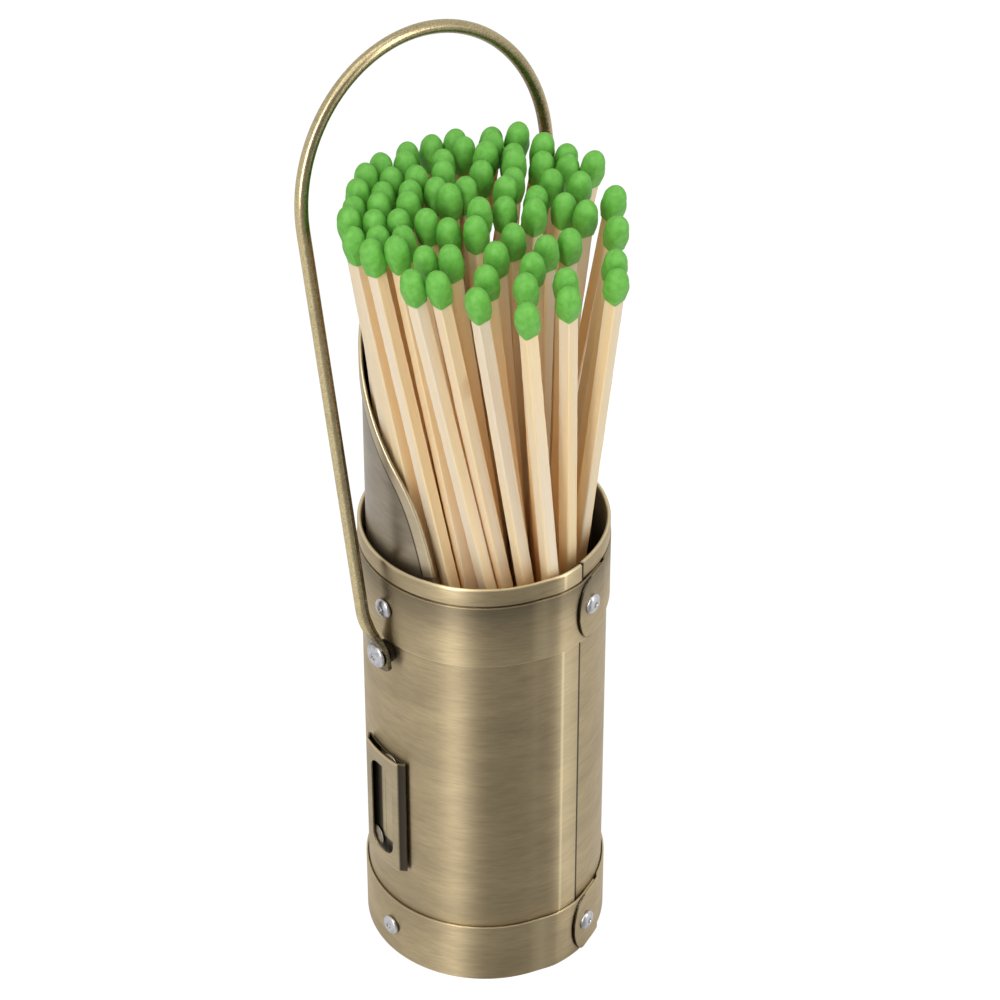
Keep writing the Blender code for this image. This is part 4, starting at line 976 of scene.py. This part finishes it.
def ring_points(height, half, square):
    """A closed ring between a round and a square one."""
    outline = [squared(2 * math.pi * k / 24, square) for k in range(24)]
    return [(half * x, half * y, height) for x, y in outline]


def ringed(name, rings, moves):
    """A closed body through rings of points, with how far each height moves when the match is longer."""
    shape = bmesh.new()
    loops = [[shape.verts.new(point) for point in ring] for ring in rings]
    join_rings(shape, loops)
    shape.faces.new(reversed(loops[0]))
    shape.faces.new(loops[-1])
    piece = new_piece(name, shape)
    values = [moves(v.co.z) for v in piece.data.vertices]
    piece.data.attributes.new("moves", "FLOAT", "POINT").data.foreach_set("value", values)
    return piece


PASTE_LENGTH = 0.0083
PASTE_RADIUS = 0.00255
PASTE_WIDEST = 0.60
PASTE_SKIN = 0.00022
PASTE_SQUARE = 7.0
PASTE_ROUNDED = 2.2
STICK_CORNER = 0.00022
STICK_RING = 0.0025


def stick_pattern():
    half = STICK_SIDE / 2
    outline = [(half, half - STICK_CORNER), (half - STICK_CORNER, half)]
    for turn in range(3):
        outline += [(-y, x) for x, y in outline[-2:]]
    length = MATCH_LENGTH - HEAD_LENGTH * 0.45
    rings = [[(x, y, z) for x, y in outline] for z in steps(0.0, length, STICK_RING)]
    return ringed("stick_pattern", rings, lambda z: z / length)


def head_pattern():
    """Paste over the stick's end: a square thin start that swells to a round head."""
    bottom = MATCH_LENGTH - PASTE_LENGTH
    half = STICK_SIDE / 2
    rings = []
    for share in (0.0, 0.015, 0.05, 0.10, 0.16, 0.23, 0.30, 0.38, 0.46, 0.54):
        swelling = ramp(share, -0.10, PASTE_WIDEST)
        skin = PASTE_SKIN if share else PASTE_SKIN / 5
        reach = half + skin + (PASTE_RADIUS - half - PASTE_SKIN) * swelling
        square = PASTE_SQUARE + (PASTE_ROUNDED - PASTE_SQUARE) * ramp(share, 0.05, PASTE_WIDEST)
        rings.append(ring_points(bottom + PASTE_LENGTH * share, reach, square))
    for turn in range(0, 90, 9):
        angle = math.radians(turn)
        share = PASTE_WIDEST + (1 - PASTE_WIDEST) * math.sin(angle)
        rings.append(ring_points(bottom + PASTE_LENGTH * share, PASTE_RADIUS * math.cos(angle), 2.0))
    return ringed("head_pattern", rings, lambda z: 1.0)


def noise_at(tree, scale, detail=3.0):
    """Noise by the place on a match's own pattern, different for each match."""
    grain = add(tree, "ShaderNodeAttribute", attribute_name="grain").outputs["Vector"]
    number = add(tree, "ShaderNodeAttribute", attribute_name="number").outputs["Fac"]
    apart = add(tree, "ShaderNodeVectorMath", {0: (53.1, 37.7, 19.3), 3: number}, operation="SCALE")
    spot = add(tree, "ShaderNodeVectorMath", {0: grain, 1: scale, 2: apart.outputs["Vector"]},
               operation="MULTIPLY_ADD").outputs["Vector"]
    return add(tree, "ShaderNodeTexNoise", {"Vector": spot, "Scale": 1.0, "Detail": detail}).outputs["Fac"]


BOUNCE_TINT_REACH = 0.010
wood, tree, shader = new_material("match wood", 0.62, 0.0)
fibres = noise_at(tree, (2600, 2600, 60))
sides = noise_at(tree, (330, 330, 9), 1.0)
tone = mixed(tree, levels(tree, sides, 0.40, 0.60), (0.82, 0.64, 0.37), (0.77, 0.66, 0.50))
tone = mixed(tree, levels(tree, fibres, 0.45, 0.80, 0.0, 0.35), tone, (0.74, 0.50, 0.24))
# Painted bounce light: where sticks hide each other the wood turns a lighter orange, standing in for light
# bounced between them.
painted_bounce_light = add(tree, "ShaderNodeAmbientOcclusion", {"Distance": BOUNCE_TINT_REACH}, samples=2).outputs["AO"]
tone = mixed(tree, levels(tree, painted_bounce_light, 0.50, 0.14), tone, (0.95, 0.60, 0.24))
tree.links.new(tone, shader.inputs["Base Color"])
roughen(tree, shader, fibres, 0.4, 0.00005)

paste, tree, shader = new_material("match paste", 0.58, 0.0)
lumps = noise_at(tree, (700, 700, 700))
pits = noise_at(tree, (2600, 2600, 2600), 1.0)
tone = mixed(tree, levels(tree, lumps, 0.35, 0.65), (0.110, 0.39, 0.040), (0.155, 0.47, 0.066))
tone = mixed(tree, levels(tree, pits, 0.74, 0.80), tone, (0.04, 0.15, 0.02))
tree.links.new(tone, shader.inputs["Base Color"])
roughen(tree, shader, lumps, 0.4, 0.00010)

low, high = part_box("front_match")
front_middle = (low + high) / 2
bunch = []
for number, (foot, head, roll) in enumerate(stand_matches()):
    along = (head - foot).normalized()
    upright = Vector((0, 0, 1)).rotation_difference(along).to_matrix().to_4x4()
    matrix = Matrix.Translation(foot) @ upright @ Matrix.Rotation(roll, 4, "Z")
    share = (head - foot).length / HEAD_CENTRE
    middle = foot + along * (MATCH_LENGTH * share / 2)
    bunch.append(((middle - front_middle).length, (matrix, MATCH_LENGTH * (share - 1), number * 0.137)))
front = min(bunch, key=lambda row: row[0])
held_nodes = [name for name in sorted(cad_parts) if name.startswith("match_")]
for name, pattern, finish, roughness, scale, slot in (
        ("sticks", stick_pattern(), wood, 0.00022, (500, 500, 260), "match_wood"),
        ("heads", head_pattern(), paste, 0.00024, (280, 280, 280), "match_head")):
    others = [row[1] for row in bunch if row is not front]
    held = copies(f"held_{name}", others, pattern, finish, roughness, scale)
    drawn = copies(f"front_{name}", [front[1]], pattern, finish, roughness, scale)
    bpy.data.objects.remove(pattern, do_unlink=True)
    for piece, body, nodes in ((held, "holder", held_nodes), (drawn, "front_match", ["front_match"])):
        settle(piece, finish, body, *nodes)

# Floor, light and camera
# A plain white floor that keeps the object's shadow, a tall soft lamp in front to the left, another
# to the right, one overhead, and the camera of the photograph.
VIEW_TURN = 39.7
DARK_SIDE = 23.0
ROOM_BRIGHT = 0.82
ROOM_DIM = 0.26
DIM_START = 0.73
DIM_FULL = 0.92
LAMP_AIM = 0.12
FLOOR_WHITE = 1.12
FLOOR_GLOW = 0.80
SKY_LIGHT = 0.54
CAMERA_PLACE = (-0.397678, -0.484658, 0.588635)
CAMERA_TILT = 53.281
CAMERA_LENS = 125.5666


def room_light(tree, spot):
    """Brightness of the room that metal shows: bright behind it and beside it, dim between the lamps."""
    flat = add(tree, "ShaderNodeVectorMath", {0: spot, 1: (1.0, 1.0, 0.0)}, operation="MULTIPLY")
    flat = add(tree, "ShaderNodeVectorMath", {0: flat.outputs["Vector"]}, operation="NORMALIZE")
    dark_way = polar(DARK_SIDE - VIEW_TURN, 1.0, 0.0)
    facing = add(tree, "ShaderNodeVectorMath", {0: flat.outputs["Vector"], 1: dark_way},
                 operation="DOT_PRODUCT")
    return levels(tree, facing.outputs["Value"], DIM_START, DIM_FULL, ROOM_BRIGHT, ROOM_DIM)


def larger(tree, first, second):
    return add(tree, "ShaderNodeMath", {0: first, 1: second}, operation="MAXIMUM").outputs[0]


def floor_material():
    material = bpy.data.materials.new("floor")
    material.use_nodes = True
    tree = material.node_tree
    shader = tree.nodes["Principled BSDF"]
    shader.inputs["Base Color"].default_value = (0.86, 0.86, 0.86, 1.0)
    shader.inputs["Roughness"].default_value = 0.9
    rays = add(tree, "ShaderNodeLightPath").outputs
    seen = larger(tree, rays["Is Camera Ray"], rays["Is Glossy Ray"])
    seen = larger(tree, seen, rays["Is Transmission Ray"])
    share = add(tree, "ShaderNodeMath", {0: seen, 1: FLOOR_GLOW}, operation="MULTIPLY")
    room = room_light(tree, add(tree, "ShaderNodeTexCoord").outputs["Object"])
    strength = levels(tree, rays["Is Camera Ray"], 0.0, 1.0, room, FLOOR_WHITE)
    glow = add(tree, "ShaderNodeEmission", {"Color": (1.0, 1.0, 1.0, 1.0), "Strength": strength})
    mix = add(tree, "ShaderNodeMixShader", {0: share.outputs[0], 1: shader.outputs[0], 2: glow.outputs[0]})
    tree.links.new(mix.outputs[0], tree.nodes["Material Output"].inputs["Surface"])
    return material


shape = bmesh.new()
bmesh.ops.create_grid(shape, x_segments=1, y_segments=1, size=6.0)
floor = new_piece("floor", shape)
floor.data.materials.append(floor_material())

world = bpy.data.worlds.new("studio")
bpy.context.scene.world = world
world.use_nodes = True
tree = world.node_tree
sky = tree.nodes["Background"]
rays = add(tree, "ShaderNodeLightPath").outputs
room = room_light(tree, add(tree, "ShaderNodeTexCoord").outputs["Generated"])
seen = larger(tree, rays["Is Glossy Ray"], rays["Is Transmission Ray"])
lit = levels(tree, seen, 0.0, 1.0, SKY_LIGHT, room)
tree.links.new(levels(tree, rays["Is Camera Ray"], 0.0, 1.0, lit, 1.0), sky.inputs["Strength"])
sky.inputs["Color"].default_value = (1.0, 1.0, 1.0, 1.0)


def soft_lamp(name, side, rise, distance, width, height, watts):
    """A softbox that looks at the bunch. side is its azimuth from the camera, rise its elevation."""
    lamp = bpy.data.lights.new(name, "AREA")
    lamp.shape = "RECTANGLE"
    lamp.size = width
    lamp.size_y = height
    lamp.energy = watts
    thing = new_object(name, lamp)
    aim = Vector((0, 0, LAMP_AIM))
    out = polar(side - VIEW_TURN, math.cos(math.radians(rise)), math.sin(math.radians(rise)))
    thing.location = aim + out * distance
    thing.rotation_euler = out.to_track_quat("Z", "Y").to_euler()


soft_lamp("left softbox", side=-26, rise=30, distance=1.0, width=0.20, height=0.9, watts=4.7)
soft_lamp("right softbox", side=70, rise=28, distance=1.1, width=0.16, height=0.9, watts=3.2)
soft_lamp("overhead", side=0, rise=78, distance=1.0, width=0.8, height=0.8, watts=2.6)

camera_data = bpy.data.cameras.new("camera")
camera_data.sensor_width = 36.0
camera_data.lens = CAMERA_LENS
camera = new_object("camera", camera_data)
camera.location = CAMERA_PLACE
camera.rotation_euler = (math.radians(CAMERA_TILT), 0.0, math.radians(-VIEW_TURN))
bpy.context.scene.camera = camera
bpy.context.scene.view_settings.view_transform = "Standard"
